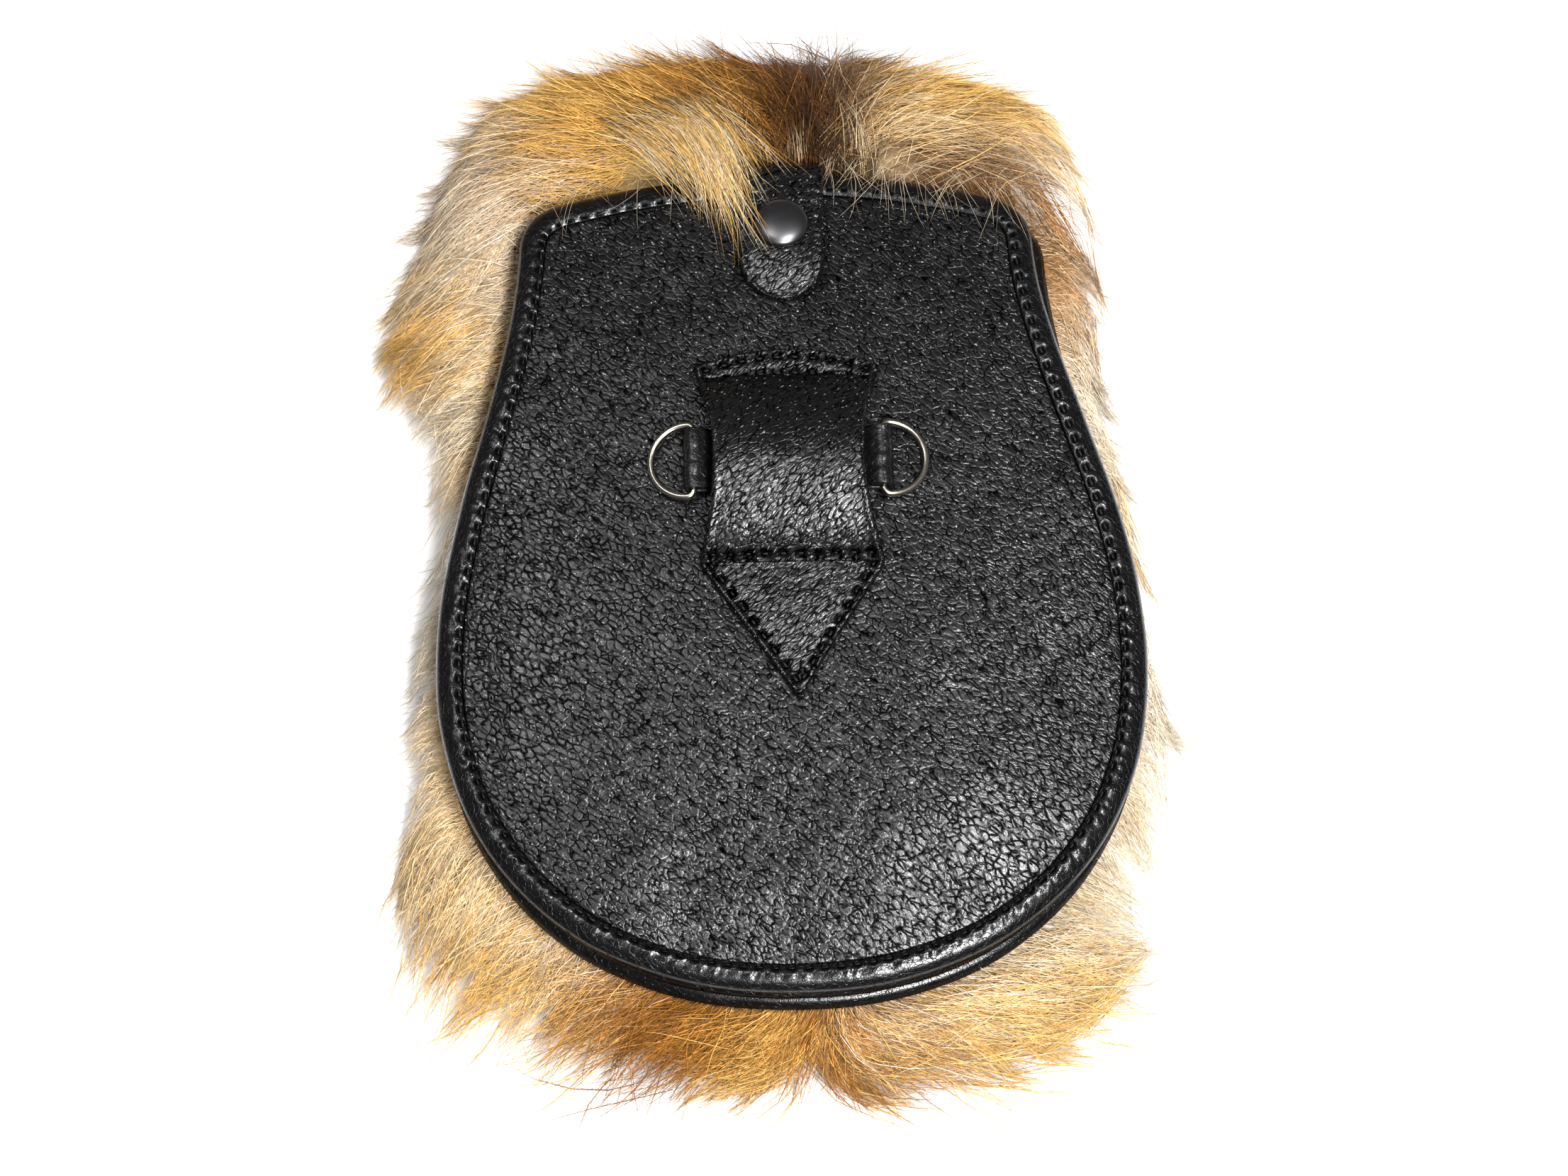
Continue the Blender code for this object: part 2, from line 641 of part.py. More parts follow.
def make_fur(parts, cutters, fur):
    """The pelt's core with its locks, hollowed where the pouch lies in it and flat where it rests."""
    directions = np.arange(FUR_CORE_SIDES) * 360 / FUR_CORE_SIDES
    reach = fur_at(directions)[0] - FUR_CORE_IN
    angles = np.radians(directions)
    core = np.array(FUR_MIDDLE) + reach[:, None] * np.column_stack([np.cos(angles), np.sin(angles)])
    pelt = add_object("fur_pelt", prism("fur_pelt", core, FUR_UNDERSIDE, FUR_BRIM), parts, fur)
    combine(pelt, add_cutter("fur_locks", all_locks(), cutters), "UNION", own_folds=True)
    loop = outline(drop=FRONT_DROP)
    room = prism("pouch_room", loop + outward(loop) * 3 * GAP, FUR_TOP, CUT_TOP)
    combine(pelt, add_cutter("pouch_room", room, cutters), "DIFFERENCE")
    beside_tab = TAB_HALF_WIDTH + TAB_ROOM
    past_tab = TOP_Y + TAB_OUT + TAB_THICKNESS + TAB_ROOM
    root = box_loop(TAB_X - beside_tab, TAB_X + beside_tab, TOP_Y - TOP_SAG, past_tab)
    combine(pelt, add_cutter("tab_room", prism("tab_room", root, FUR_TOP, CUT_TOP), cutters), "DIFFERENCE")
    ground = prism("ground", box_loop(-0.3, 0.3, -0.3, 0.3), -0.05, 0.0)
    combine(pelt, add_cutter("ground", ground, cutters), "DIFFERENCE")


def place_all(parts, cutters):
    """Everything hangs on one empty, which centres the whole on the origin."""
    centre = bpy.data.objects.new("pouch_centre", None)
    parts.objects.link(centre)
    centre.location = PLACE
    for collection in (parts, cutters):
        for thing in collection.objects:
            if thing is not centre and thing.parent is None:
                thing.parent = centre


def main():
    clear_scene()
    parts = new_collection("sporran_pouch")
    cutters = new_collection("cutters")
    leather = finish("grained_leather", (0.012, 0.012, 0.013), 0.42)
    border_leather = finish("smooth_leather", (0.010, 0.010, 0.011), 0.35)
    nickel = finish("nickel_wire", (0.62, 0.57, 0.50), 0.22, 1.0)
    gunmetal = finish("gunmetal", (0.16, 0.16, 0.17), 0.32, 1.0)
    fur = finish("fur", (0.50, 0.31, 0.12), 0.75)
    make_fur(parts, cutters, fur)
    make_front(parts, leather, border_leather)
    make_gusset(parts, border_leather)
    make_back(parts, leather, border_leather)
    make_tab(parts, cutters, leather)
    make_stud(parts, gunmetal)
    make_belt_loop(parts, leather)
    make_ring_strap(parts, border_leather)
    make_d_ring("d_ring_left", -1, parts, nickel)
    make_d_ring("d_ring_right", 1, parts, nickel)
    place_all(parts, cutters)


main()
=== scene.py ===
"""The looks of a fur-fronted leather sporran pouch, lying face down on its fur.

The pouch keeps the shapes of its solids: the outline, the dome of the back, the tab, the belt loop and the
rings are worked out again here with more points, and get grain, stitches, folds and hair.
Lengths are in metres. Shapes are worked out in the pouch's own frame, and moved to their place at the end.
"""

import math

import bmesh
import bpy
import numpy as np
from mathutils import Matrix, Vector


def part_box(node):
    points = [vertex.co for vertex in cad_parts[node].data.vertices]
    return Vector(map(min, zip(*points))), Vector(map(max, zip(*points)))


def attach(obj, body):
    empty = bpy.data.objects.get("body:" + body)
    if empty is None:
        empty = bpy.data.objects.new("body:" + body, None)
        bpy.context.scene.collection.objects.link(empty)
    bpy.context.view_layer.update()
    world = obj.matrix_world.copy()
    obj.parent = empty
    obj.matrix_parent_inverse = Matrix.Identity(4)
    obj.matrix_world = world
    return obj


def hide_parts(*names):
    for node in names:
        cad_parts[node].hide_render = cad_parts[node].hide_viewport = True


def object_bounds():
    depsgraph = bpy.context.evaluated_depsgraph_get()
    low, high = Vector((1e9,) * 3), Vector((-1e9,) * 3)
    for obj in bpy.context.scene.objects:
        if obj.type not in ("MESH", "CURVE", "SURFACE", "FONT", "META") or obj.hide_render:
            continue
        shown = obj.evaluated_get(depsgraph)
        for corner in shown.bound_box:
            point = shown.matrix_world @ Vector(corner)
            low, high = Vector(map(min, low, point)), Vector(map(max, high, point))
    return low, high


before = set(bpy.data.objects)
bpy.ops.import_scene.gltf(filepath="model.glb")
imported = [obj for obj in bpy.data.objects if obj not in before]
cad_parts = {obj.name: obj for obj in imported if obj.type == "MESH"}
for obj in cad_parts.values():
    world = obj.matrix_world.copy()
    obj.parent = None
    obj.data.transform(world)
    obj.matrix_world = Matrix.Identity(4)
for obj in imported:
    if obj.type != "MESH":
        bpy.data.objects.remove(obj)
cad_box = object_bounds()

# The pouch's outline and heights, as in its solids
WIDEST_Y = -0.0200
HALF_WIDEST = 0.0969
FOOT_DEPTH = 0.0925
FOOT_POWER = 2.2
HALF_MOUTH = 0.0749
NECK_Y = 0.1050
TOP_Y = 0.1226
TOP_SAG = 0.0118
CORNER = 0.0120
RIGHT_SLIP = 0.0045
FRONT_DROP = 0.0025
GAP = 0.0003
LEATHER = 0.0020
FUR_TOP = 0.0180
BACK_EDGE_Z = 0.0345
BACK_RISE = 0.0065
DOME_HALF_WIDTH = 0.0970
DOME_HALF_LENGTH = 0.1180
DOME_Y = 0.0050
SWELLS = (
    (-0.0640, -0.0250, 0.0010, 0.018, 0.042),
    (0.0440, -0.0640, 0.0016, 0.026, 0.022),
    (-0.0050, -0.0780, -0.0006, 0.020, 0.022),
)
BORDER_HALF_WIDTH = 0.0036
BORDER_HALF_HEIGHT = 0.0026
GUSSET_WALL = 0.0016
GUSSET_INSET = 0.0036
GUSSET_TUCK = 0.0030
GUSSET_TOP_Y = 0.1040
TAB_X = -0.0006
TAB_HALF_WIDTH = 0.0122
TAB_THICKNESS = 0.0024
TAB_TIP_Y = 0.0816
TAB_OUT = 0.0004
STUD_Y = 0.1028
STUD_CAP_RADIUS = 0.0075
STUD_CAP_HEIGHT = 0.0030
STUD_LIFT = 0.0028
LOOP_THICKNESS = 0.0022
LOOP_TOP_ARC = 0.0050
LOOP_ARCH = 0.0106
LOOP_ARCH_TOP_Y = 0.0570
LOOP_ARCH_FOOT_Y = 0.0045
LOOP_TIP_SHIFT = 0.0016
LOOP_ROWS = (
    (0.0612, 0.0256),
    (0.0590, 0.0253),
    (0.0565, 0.0248),
    (0.0520, 0.0237),
    (0.0460, 0.0222),
    (0.0400, 0.0210),
    (0.0340, 0.0205),
    (0.0280, 0.0206),
    (0.0220, 0.0212),
    (0.0160, 0.0223),
    (0.0100, 0.0238),
    (0.0060, 0.0250),
    (0.0035, 0.0256),
    (-0.0090, 0.0172),
    (-0.0210, 0.0091),
    (-0.0335, 0.0009),
)
WIRE_RADIUS = 0.0010
RING_HALF_SPAN = 0.01035
RING_REACH = 0.0120
RING_CORNER = 0.0018
RING_Y = 0.0330
BAR_X = 0.0260
ROLL_RADIUS = 0.0029
RING_STRAP_WIDTH = 0.0176
RING_STRAP_Y = 0.0332
RING_STRAP_HEIGHT = 0.0032

# The reach of the fur round its middle, by direction in degrees
FUR_MIDDLE = np.array([-0.0015, 0.0120])
FUR_ROWS = (
    (0, 0.098),
    (30, 0.104),
    (43, 0.128),
    (52, 0.148),
    (60, 0.164),
    (75, 0.162),
    (90, 0.160),
    (105, 0.165),
    (120, 0.170),
    (135, 0.147),
    (152, 0.137),
    (162, 0.106),
    (180, 0.097),
    (210, 0.120),
    (225, 0.151),
    (232, 0.160),
    (240, 0.157),
    (270, 0.146),
    (300, 0.158),
    (311, 0.153),
    (320, 0.132),
    (330, 0.122),
    (345, 0.105),
)

# Hair colours
HAIR = {
    "cream": (0.93, 0.87, 0.77),
    "straw": (0.90, 0.80, 0.63),
    "gold": (0.92, 0.745, 0.42),
    "ochre": (0.85, 0.66, 0.33),
    "orange": (0.57, 0.37, 0.12),
    "rust": (0.37, 0.22, 0.08),
    "umber": (0.14, 0.085, 0.04),
    "taupe": (0.76, 0.67, 0.56),
    "tan": (0.76, 0.64, 0.49),
    "sable": (0.16, 0.11, 0.09),
}

# How the fur is combed: place in millimetres, the way the hair points in degrees, and its colour
COMBING = (
    (-5, 165, 130, "orange"),
    (-30, 160, 150, "orange"),
    (-45, 165, 155, "ochre"),
    (-70, 160, 170, "gold"),
    (-85, 150, 180, "gold"),
    (-50, 145, 175, "gold"),
    (-25, 150, 165, "gold"),
    (-95, 145, 180, "cream"),
    (-85, 135, 195, "taupe"),
    (-65, 130, 190, "ochre"),
    (-35, 130, 225, "gold"),
    (-20, 120, 275, "straw"),
    (-12, 152, 150, "orange"),
    (-24, 146, 155, "orange"),
    (-13, 141, 160, "rust"),
    (-4, 133, 165, "umber"),
    (0, 145, 150, "rust"),
    (5, 155, 130, "rust"),
    (8, 133, 100, "umber"),
    (10, 143, 110, "umber"),
    (15, 160, 90, "rust"),
    (17, 135, 20, "umber"),
    (21, 148, 30, "rust"),
    (25, 165, 25, "taupe"),
    (40, 170, 10, "ochre"),
    (40, 155, 355, "gold"),
    (55, 155, 345, "gold"),
    (65, 145, 340, "gold"),
    (80, 140, 325, "straw"),
    (85, 130, 322, "straw"),
    (75, 125, 325, "tan"),
    (68, 115, 330, "rust"),
    (75, 107, 335, "rust"),
    (86, 115, 330, "straw"),
    (50, 135, 345, "tan"),
    (35, 140, 355, "straw"),
    (-85, 115, 210, "taupe"),
    (-100, 115, 205, "cream"),
    (-95, 105, 215, "cream"),
    (-85, 100, 210, "taupe"),
    (-105, 95, 210, "straw"),
    (-112, 80, 205, "gold"),
    (-104, 76, 212, "ochre"),
    (-90, 82, 205, "cream"),
    (-95, 68, 210, "straw"),
    (-95, 54, 210, "cream"),
    (-98, 40, 210, "straw"),
    (-100, 15, 205, "cream"),
    (-103, -17, 195, "cream"),
    (-105, -40, 197, "straw"),
    (-105, -57, 203, "straw"),
    (-88, -76, 235, "straw"),
    (-100, -85, 240, "straw"),
    (-100, -95, 235, "gold"),
    (-88, -105, 230, "gold"),
    (-80, -112, 215, "gold"),
    (-70, -94, 230, "cream"),
    (-55, -100, 225, "tan"),
    (-85, -84, 235, "cream"),
    (-50, -115, 207, "orange"),
    (-47, -126, 230, "orange"),
    (-30, -118, 210, "orange"),
    (-15, -126, 200, "gold"),
    (0, -116, 220, "orange"),
    (7, -130, 270, "orange"),
    (20, -126, 325, "orange"),
    (28, -122, 330, "gold"),
    (25, -114, 5, "cream"),
    (40, -113, 5, "cream"),
    (98, -30, 325, "cream"),
    (97, -50, 315, "cream"),
    (96, -63, 305, "straw"),
    (88, -78, 300, "cream"),
    (75, -90, 320, "cream"),
    (85, -95, 15, "straw"),
    (72, -103, 5, "cream"),
    (84, -109, 355, "gold"),
    (63, -116, 345, "gold"),
    (72, -121, 355, "gold"),
    (52, -109, 355, "cream"),
    (45, -103, 350, "cream"),
    (40, -128, 335, "orange"),
    (48, -123, 345, "gold"),
    (82, 98, 345, "orange"),
    (87, 88, 345, "tan"),
    (88, 78, 310, "tan"),
    (89, 63, 330, "cream"),
    (95, 43, 325, "cream"),
    (98, 20, 320, "straw"),
)


# ---- Small helpers ----


def smoothstep(value):
    """A value kept from 0 to 1 and eased at both ends: three times its square less twice its cube."""
    value = np.clip(value, 0.0, 1.0)
    return value * value * (3.0 - 2.0 * value)


def linear(colour):
    """An sRGB colour as linear light."""
    colour = np.asarray(colour, float)
    return np.where(colour <= 0.04045, colour / 12.92, ((colour + 0.055) / 1.055) ** 2.4)


def unit(vectors):
    """Vectors scaled to a length of one."""
    return vectors / np.linalg.norm(vectors, axis=-1, keepdims=True).clip(1e-9)


def smooth_path(points, count):
    """Points spread evenly by their own number along a Catmull-Rom curve through the given ones."""
    points = np.array(points, float)
    padded = np.vstack([2 * points[0] - points[1], points, 2 * points[-1] - points[-2]])
    place = np.linspace(0, len(points) - 1, count)
    step = np.minimum(place.astype(int), len(points) - 2)
    part = (place - step)[:, None]
    before, start, end, after = (padded[step + shift] for shift in range(4))
    return 0.5 * (
        2 * start
        + (end - before) * part
        + (2 * before - 5 * start + 4 * end - after) * part**2
        + (3 * start - before - 3 * end + after) * part**3
    )


def along(points):
    """How far each point of a path is from its first."""
    return np.concatenate([[0], np.cumsum(np.linalg.norm(np.diff(points, axis=0), axis=1))])


def rejoin(path):
    """The path with its first point again at its end."""
    return np.vstack([path, path[:1]])


def points_at(wanted, far, path):
    """The path's points at the wanted distances, where far is each given point's distance."""
    return np.column_stack([np.interp(wanted, far, row) for row in path.T])


def even_path(points, count):
    """The same closed path with points at equal distances."""
    points = rejoin(points)
    far = along(points)
    return points_at(np.linspace(0, far[-1], count + 1)[:-1], far, points)


def soft_noise(x, y, size, seed):
    """Smooth noise from -1 to 1: random values on a square lattice of that size, blended between them."""
    values = np.random.default_rng(seed).uniform(-1, 1, (256, 256))
    x, y = np.asarray(x) / size + 97.3, np.asarray(y) / size + 71.9
    left, low = np.floor(x).astype(int), np.floor(y).astype(int)
    across, up = smoothstep(x - left), smoothstep(y - low)

    def value(i, j):
        return values[(left + i) % 256, (low + j) % 256]

    lower = value(0, 0) * (1 - across) + value(1, 0) * across
    upper = value(0, 1) * (1 - across) + value(1, 1) * across
    return lower * (1 - up) + upper * up


def ridged_noise(x, y, size, seed):
    """Noise with thin valleys: 0 in a crease and near 1 between creases."""
    warp = soft_noise(x, y, size * 1.7, seed + 5) * size * 0.5
    return np.abs(soft_noise(x + warp, y - warp, size, seed)) ** 0.6


# ---- Meshes ----


def ring_quads(rows, columns, closed=False):
    """Quads between rings of points, each joined to itself, and to the first ring if closed."""
    row = np.arange(rows if closed else rows - 1)[:, None]
    column = np.arange(columns)[None, :]
    beyond, beside = (row + 1) % rows, (column + 1) % columns
    corners = [
        row * columns + column,
        beyond * columns + column,
        beyond * columns + beside,
        row * columns + beside,
    ]
    return np.stack([corner + 0 * row + 0 * column for corner in corners], axis=-1).reshape(-1, 4)


def as_triangles(faces):
    """Quads and triangles, given as a list of index arrays, all as triangles."""
    found = []
    for group in faces:
        found += [group] if group.shape[1] == 3 else [group[:, [0, 1, 2]], group[:, [0, 2, 3]]]
    return np.vstack(found)


def volume(points, faces):
    """The volume inside a closed mesh: a sixth of the sum of each triangle's triple product."""
    corners = points[as_triangles(faces)]
    return float(np.einsum("ij,ij->i", corners[:, 0], np.cross(corners[:, 1], corners[:, 2])).sum() / 6)


def make_piece(
    name, points, faces, material, body="pouch", nodes=(), uv=None, tone=None, amounts=None
):
    """A closed mesh from arrays, moved to its place on the pouch.

    It rides a body and stands for CAD nodes. Faces are a list of index arrays. They are turned to face out
    if the volume comes out below zero. Tone is a colour a point, and amounts are named values a point.
    """
    points = np.asarray(points, float).reshape(-1, 3)
    faces = [np.asarray(group, np.int64) for group in faces]
    if volume(points, faces) < 0:
        faces = [group[:, ::-1] for group in faces]
    mesh = bpy.data.meshes.new(name)
    corners = np.concatenate([group.ravel() for group in faces])
    sizes = np.concatenate([np.full(len(group), group.shape[1]) for group in faces])
    mesh.vertices.add(len(points))
    mesh.vertices.foreach_set("co", (points + PLACE).astype(np.float32).ravel())
    mesh.loops.add(len(corners))
    mesh.loops.foreach_set("vertex_index", corners.astype(np.int32))
    mesh.polygons.add(len(sizes))
    starts = np.concatenate([[0], np.cumsum(sizes)[:-1]])
    mesh.polygons.foreach_set("loop_start", starts.astype(np.int32))
    mesh.update(calc_edges=True)
    mesh.validate()
    mesh.shade_smooth()
    if uv is not None:
        layer = mesh.uv_layers.new(name="UVMap")
        layer.data.foreach_set("uv", np.asarray(uv)[corners].astype(np.float32).ravel())
    if tone is not None:
        layer = mesh.attributes.new("tone", "FLOAT_COLOR", "POINT")
        full = np.column_stack([tone, np.ones(len(tone))])
        layer.data.foreach_set("color", full.astype(np.float32).ravel())
    for key, values in (amounts or {}).items():
        layer = mesh.attributes.new(key, "FLOAT", "POINT")
        layer.data.foreach_set("value", np.asarray(values, np.float32).ravel())
    mesh.materials.append(material)
    piece = bpy.data.objects.new(name, mesh)
    bpy.context.scene.collection.objects.link(piece)
    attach(piece, body)
    if nodes:
        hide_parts(*nodes)


# ---- Shared shapes of the pouch ----

low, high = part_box("back_binding")
PLACE = np.array([(low.x + high.x) / 2, high.y - TOP_Y, 0.0])


def half_width(y):
    """Half the pouch's width beside y: it narrows smoothly from its widest place to the mouth."""
    return HALF_WIDEST - (HALF_WIDEST - HALF_MOUTH) * smoothstep((y - WIDEST_Y) / (NECK_Y - WIDEST_Y))


def top_edge(x):
    """The mouth's edge: a parabola that sags towards its corners."""
    return TOP_Y - TOP_SAG * (x / HALF_MOUTH) ** 2


def half_outline():
    """The outline's right half: a shallow arc from the mouth's middle, a rounded corner, a side and a foot.

    The corner is a curve of degree two, and the foot a quarter of an ellipse of power 2.2.
    """
    across = np.linspace(0, HALF_MOUTH - CORNER, 60)
    top = np.column_stack([across, top_edge(across)])
    corner = np.array([HALF_MOUTH, top_edge(HALF_MOUTH)])
    below = corner[1] - CORNER
    turn = np.linspace(0, 1, 30)[1:, None]
    bend = (1 - turn) ** 2 * top[-1] + 2 * turn * (1 - turn) * corner + turn**2 * (half_width(below), below)
    down = np.linspace(below, WIDEST_Y, 120)[1:]
    side = np.column_stack([half_width(down), down])
    sweep = np.linspace(0, math.pi / 2, 120)[1:]
    foot_x = HALF_WIDEST * np.cos(sweep).clip(0) ** (2 / FOOT_POWER)
    foot_y = WIDEST_Y - FOOT_DEPTH * np.sin(sweep) ** (2 / FOOT_POWER)
    return np.vstack([top, bend, side, np.column_stack([foot_x, foot_y])])


def rim(count, slip=0.0, drop=0.0):
    """The closed outline with evenly spread points, counter-clockwise from the middle of the mouth."""
    right = half_outline()
    loop = even_path(np.vstack([right * (-1, 1), right[-2:0:-1]]), count)
    side = np.clip(loop[:, 0] / HALF_MOUTH, 0, 1)
    loop[:, 0] -= slip * side * smoothstep(loop[:, 1] / NECK_Y)
    loop[:, 1] -= drop * smoothstep(-loop[:, 1] / (FOOT_DEPTH - WIDEST_Y))
    return loop


def outward(loop):
    """The outward direction at each point of a closed counter-clockwise loop."""
    step = unit(np.roll(loop, -1, axis=0) - np.roll(loop, 1, axis=0))
    return np.column_stack([step[:, 1], -step[:, 0]])


def back_height(x, y):
    """Height of the back panel's upper face: a broad dome with a few soft swells and hollows."""
    across = 1 - np.clip(np.abs(x) / DOME_HALF_WIDTH, 0, 1) ** 2.4
    rise = 1 - np.clip(np.abs(y - DOME_Y) / DOME_HALF_LENGTH, 0, 1) ** 2.6
    height = BACK_EDGE_Z + BACK_RISE * across * rise
    for middle_x, middle_y, lift, spread_x, spread_y in SWELLS:
        far = ((x - middle_x) / spread_x) ** 2 + ((y - middle_y) / spread_y) ** 2
        height = height + lift * np.exp(-far / 2)
    return height


def hand_relief(x, y):
    """Low relief of worked leather: broad dents, and creases that run from lower left to upper right."""
    slant, cross = (x + y) * 0.7071, (y - x) * 0.7071
    broad = soft_noise(x, y, 0.021, 1) * 0.00036 + soft_noise(x, y, 0.009, 2) * 0.00015
    creases = (ridged_noise(slant / 2.2, cross, 0.0052, 3) - 0.6) * 0.00014
    return broad + creases


def shell(rings, top_pole, low_pole):
    """Faces of a closed shell made of rings from one pole to the other, and its points."""
    count, sides = rings.shape[:2]
    points = np.vstack([rings.reshape(-1, 3), top_pole, low_pole])
    side = np.arange(sides)
    beside = (side + 1) % sides
    first, last = count * sides, count * sides + 1
    top = np.column_stack([side, beside, np.full(sides, first)])
    low = np.column_stack([(count - 1) * sides + beside, (count - 1) * sides + side, np.full(sides, last)])
    return points, [ring_quads(count, sides), top, low]


EDGE_TURN = 0.0005
EDGE_DROP = 0.0004
BACK_POLE = np.array([0.0, 0.0300])
BACK_SIDES = 440
BACK_RINGS = 84
BACK_UNDER_SHARES = np.array([0.999, 0.97, 0.8, 0.6, 0.4, 0.2, 0.04])


def inside_border(loop):
    """The loop along the inner edge of the border, a gap further in."""
    return loop - outward(loop) * (2 * BORDER_HALF_WIDTH + GAP)


def make_back_leather(material):
    """The domed back as one closed shell.

    Rings shrink from the border's inner edge to a pole under the belt loop. The rim turns down over the last
    0.5 mm, so that a groove runs beside the border, and the underside follows 2 mm lower.
    """
    inner = inside_border(rim(BACK_SIDES, slip=RIGHT_SLIP))
    pole = BACK_POLE
    reach = np.linalg.norm(inner - pole, axis=1).mean()
    shares = np.linspace(0.02, 1 - EDGE_TURN / reach, BACK_RINGS)
    flat = pole + (inner - pole)[None] * shares[:, None, None]
    x, y = flat[..., 0], flat[..., 1]
    top = np.dstack([flat, back_height(x, y) + hand_relief(x, y)])
    turned = []
    for turn in np.radians((30, 60, 85)):
        ring = pole + (inner - pole) * (1 - EDGE_TURN / reach * (1 - math.sin(turn)))
        drop = EDGE_DROP * (1 - math.cos(turn))
        height = back_height(*ring.T) + hand_relief(*ring.T) - drop
        turned.append(np.column_stack([ring, height]))
    below = pole + (inner - pole)[None] * BACK_UNDER_SHARES[:, None, None]
    lower = np.dstack([below, back_height(below[..., 0], below[..., 1]) - LEATHER])
    rings = np.concatenate([top, np.array(turned), lower])
    pole_z = float(back_height(*pole))
    points, faces = shell(rings, (*pole, pole_z), (*pole, pole_z - LEATHER))
    make_piece("back_leather", points, faces, material, nodes=["back_panel"])


FRONT_SIDES = 120
FRONT_RINGS = 24
FRONT_UNDER_SHARES = np.array([1.0, 0.98, 0.7, 0.4, 0.05])
FRONT_SINK = 0.0003


def make_front_leather(material):
    """The flat front panel inside its border, seen only through the mouth."""
    inner = inside_border(rim(FRONT_SIDES, drop=FRONT_DROP))
    shares = np.concatenate([np.linspace(0.03, 1, FRONT_RINGS), FRONT_UNDER_SHARES])
    on_top = (np.arange(len(shares)) < FRONT_RINGS)[:, None]
    under = FUR_TOP + GAP
    flat = inner[None] * shares[:, None, None]
    relief = hand_relief(flat[..., 0], flat[..., 1]) - FRONT_SINK
    height = under + LEATHER * on_top + relief * on_top
    points, faces = shell(np.dstack([flat, height]), (0, 0, under + LEATHER), (0, 0, under))
    make_piece("front_leather", points, faces, material, nodes=["front_panel"])


RIDGE = -0.30
STITCH_PITCH = 0.0045
SEAM_PLACE = -0.0028
SEAM_SHIFT = 0.0011
PIT_DEPTH = 0.00115
PIT_HALF_WIDTH = 0.00075
PIT_THREAD_DEPTH = 0.00125
LINE_DEPTH = 0.00006
BORDER_ROWS = 1300
BORDER_SIDES = 24
FRONT_BORDER_ROWS = 360
FRONT_BORDER_SIDES = 12


def border_section(sides):
    """The border's section as outward and upward offsets, in half widths, and how many points are on top.

    The top starts level with the panel at the inner edge, swells to a ridge by a parabola and falls away in
    a long round to the outer edge. The underside is half a rounded oblong, of power 2.6.
    """
    upper = sides * 2 // 3 + 1
    top = 2 * np.linspace(0, 1, upper) ** 1.25 - 1
    inside = 0.42 + 0.38 * (1 - ((RIDGE - top) / (1 + RIDGE)).clip(0) ** 2)
    outside = 0.80 * (1 - ((top - RIDGE) / (1 - RIDGE)).clip(0) ** 2.1).clip(0) ** 0.62
    low = np.linspace(0.92, -0.92, sides - upper)
    below = -((1 - np.abs(low) ** 2.6) ** (1 / 2.6))
    return np.concatenate([top, low]), np.concatenate([np.where(top > RIDGE, outside, inside), below]), upper


def seam_line(loop):
    """The seam's place across the border: by the inner edge, but further out along the upper right side."""
    right = smoothstep((loop[:, 0] + 0.02) / 0.05)
    upper = smoothstep((loop[:, 1] + 0.04) / 0.08)
    return SEAM_PLACE + SEAM_SHIFT * right * upper


def border_points(loop, level, sides, seam, seed):
    """The border's section carried round the inside of a loop, and how deep each point is in a stitch's pit.

    The top follows level(x, y), the height of the section's middle. A seam runs along it: a pit at each
    stitch, a shallow line between, and fine puckers on the ridge beside it, where the leather is gathered.
    All of them are shallower by the mouth.
    """
    out, rise, _ = border_section(sides)
    out, rise = out[None, :] * BORDER_HALF_WIDTH, rise[None, :]
    far = along(rejoin(loop))
    stitches = round(far[-1] / STITCH_PITCH)
    phase = far[:-1, None] / far[-1] * stitches * 2 * math.pi
    far = far[:-1, None]
    normals = outward(loop)
    wander = soft_noise(far, 0 * far, 0.016, seed) * 0.00016
    centre = loop - normals * (BORDER_HALF_WIDTH - wander + 0.00018)
    flat = centre[:, None, :] + normals[:, None, :] * out[..., None]
    on_top = smoothstep(rise * 2.5)
    line = seam_line(loop)[:, None]
    across = np.exp(-(((out - line) / PIT_HALF_WIDTH) ** 2)) * seam * on_top
    pit = across * smoothstep((np.cos(phase) + 0.15) / 0.55)
    gathered = np.exp(-(((out - line - 0.0017) / 0.0013) ** 2))
    depth = 1 - 0.8 * smoothstep((loop[:, 1:] - 0.098) / 0.012)
    relief = (-PIT_DEPTH * pit - LINE_DEPTH * across) * depth
    fine = soft_noise(far + 0.35 * out, out * 0.35, 0.00125, seed + 3)
    broad = soft_noise(far + 0.6 * out, out * 0.5, 0.0029, seed + 4)
    relief = relief + gathered * depth * 0.00024 * fine * seam
    relief = relief + gathered * depth * 0.00012 * broad
    at_rim = level(loop[:, :1], loop[:, 1:])
    middle = at_rim + (level(flat[..., 0], flat[..., 1]) - at_rim) * on_top
    height = middle + rise * BORDER_HALF_HEIGHT * 0.985 + relief * on_top
    return np.concatenate([flat, height[:, :, None]], axis=2), np.sqrt(pit)


def back_middle(x, y):
    """The height of the middle of the back panel's leather."""
    return back_height(x, y) - LEATHER / 2


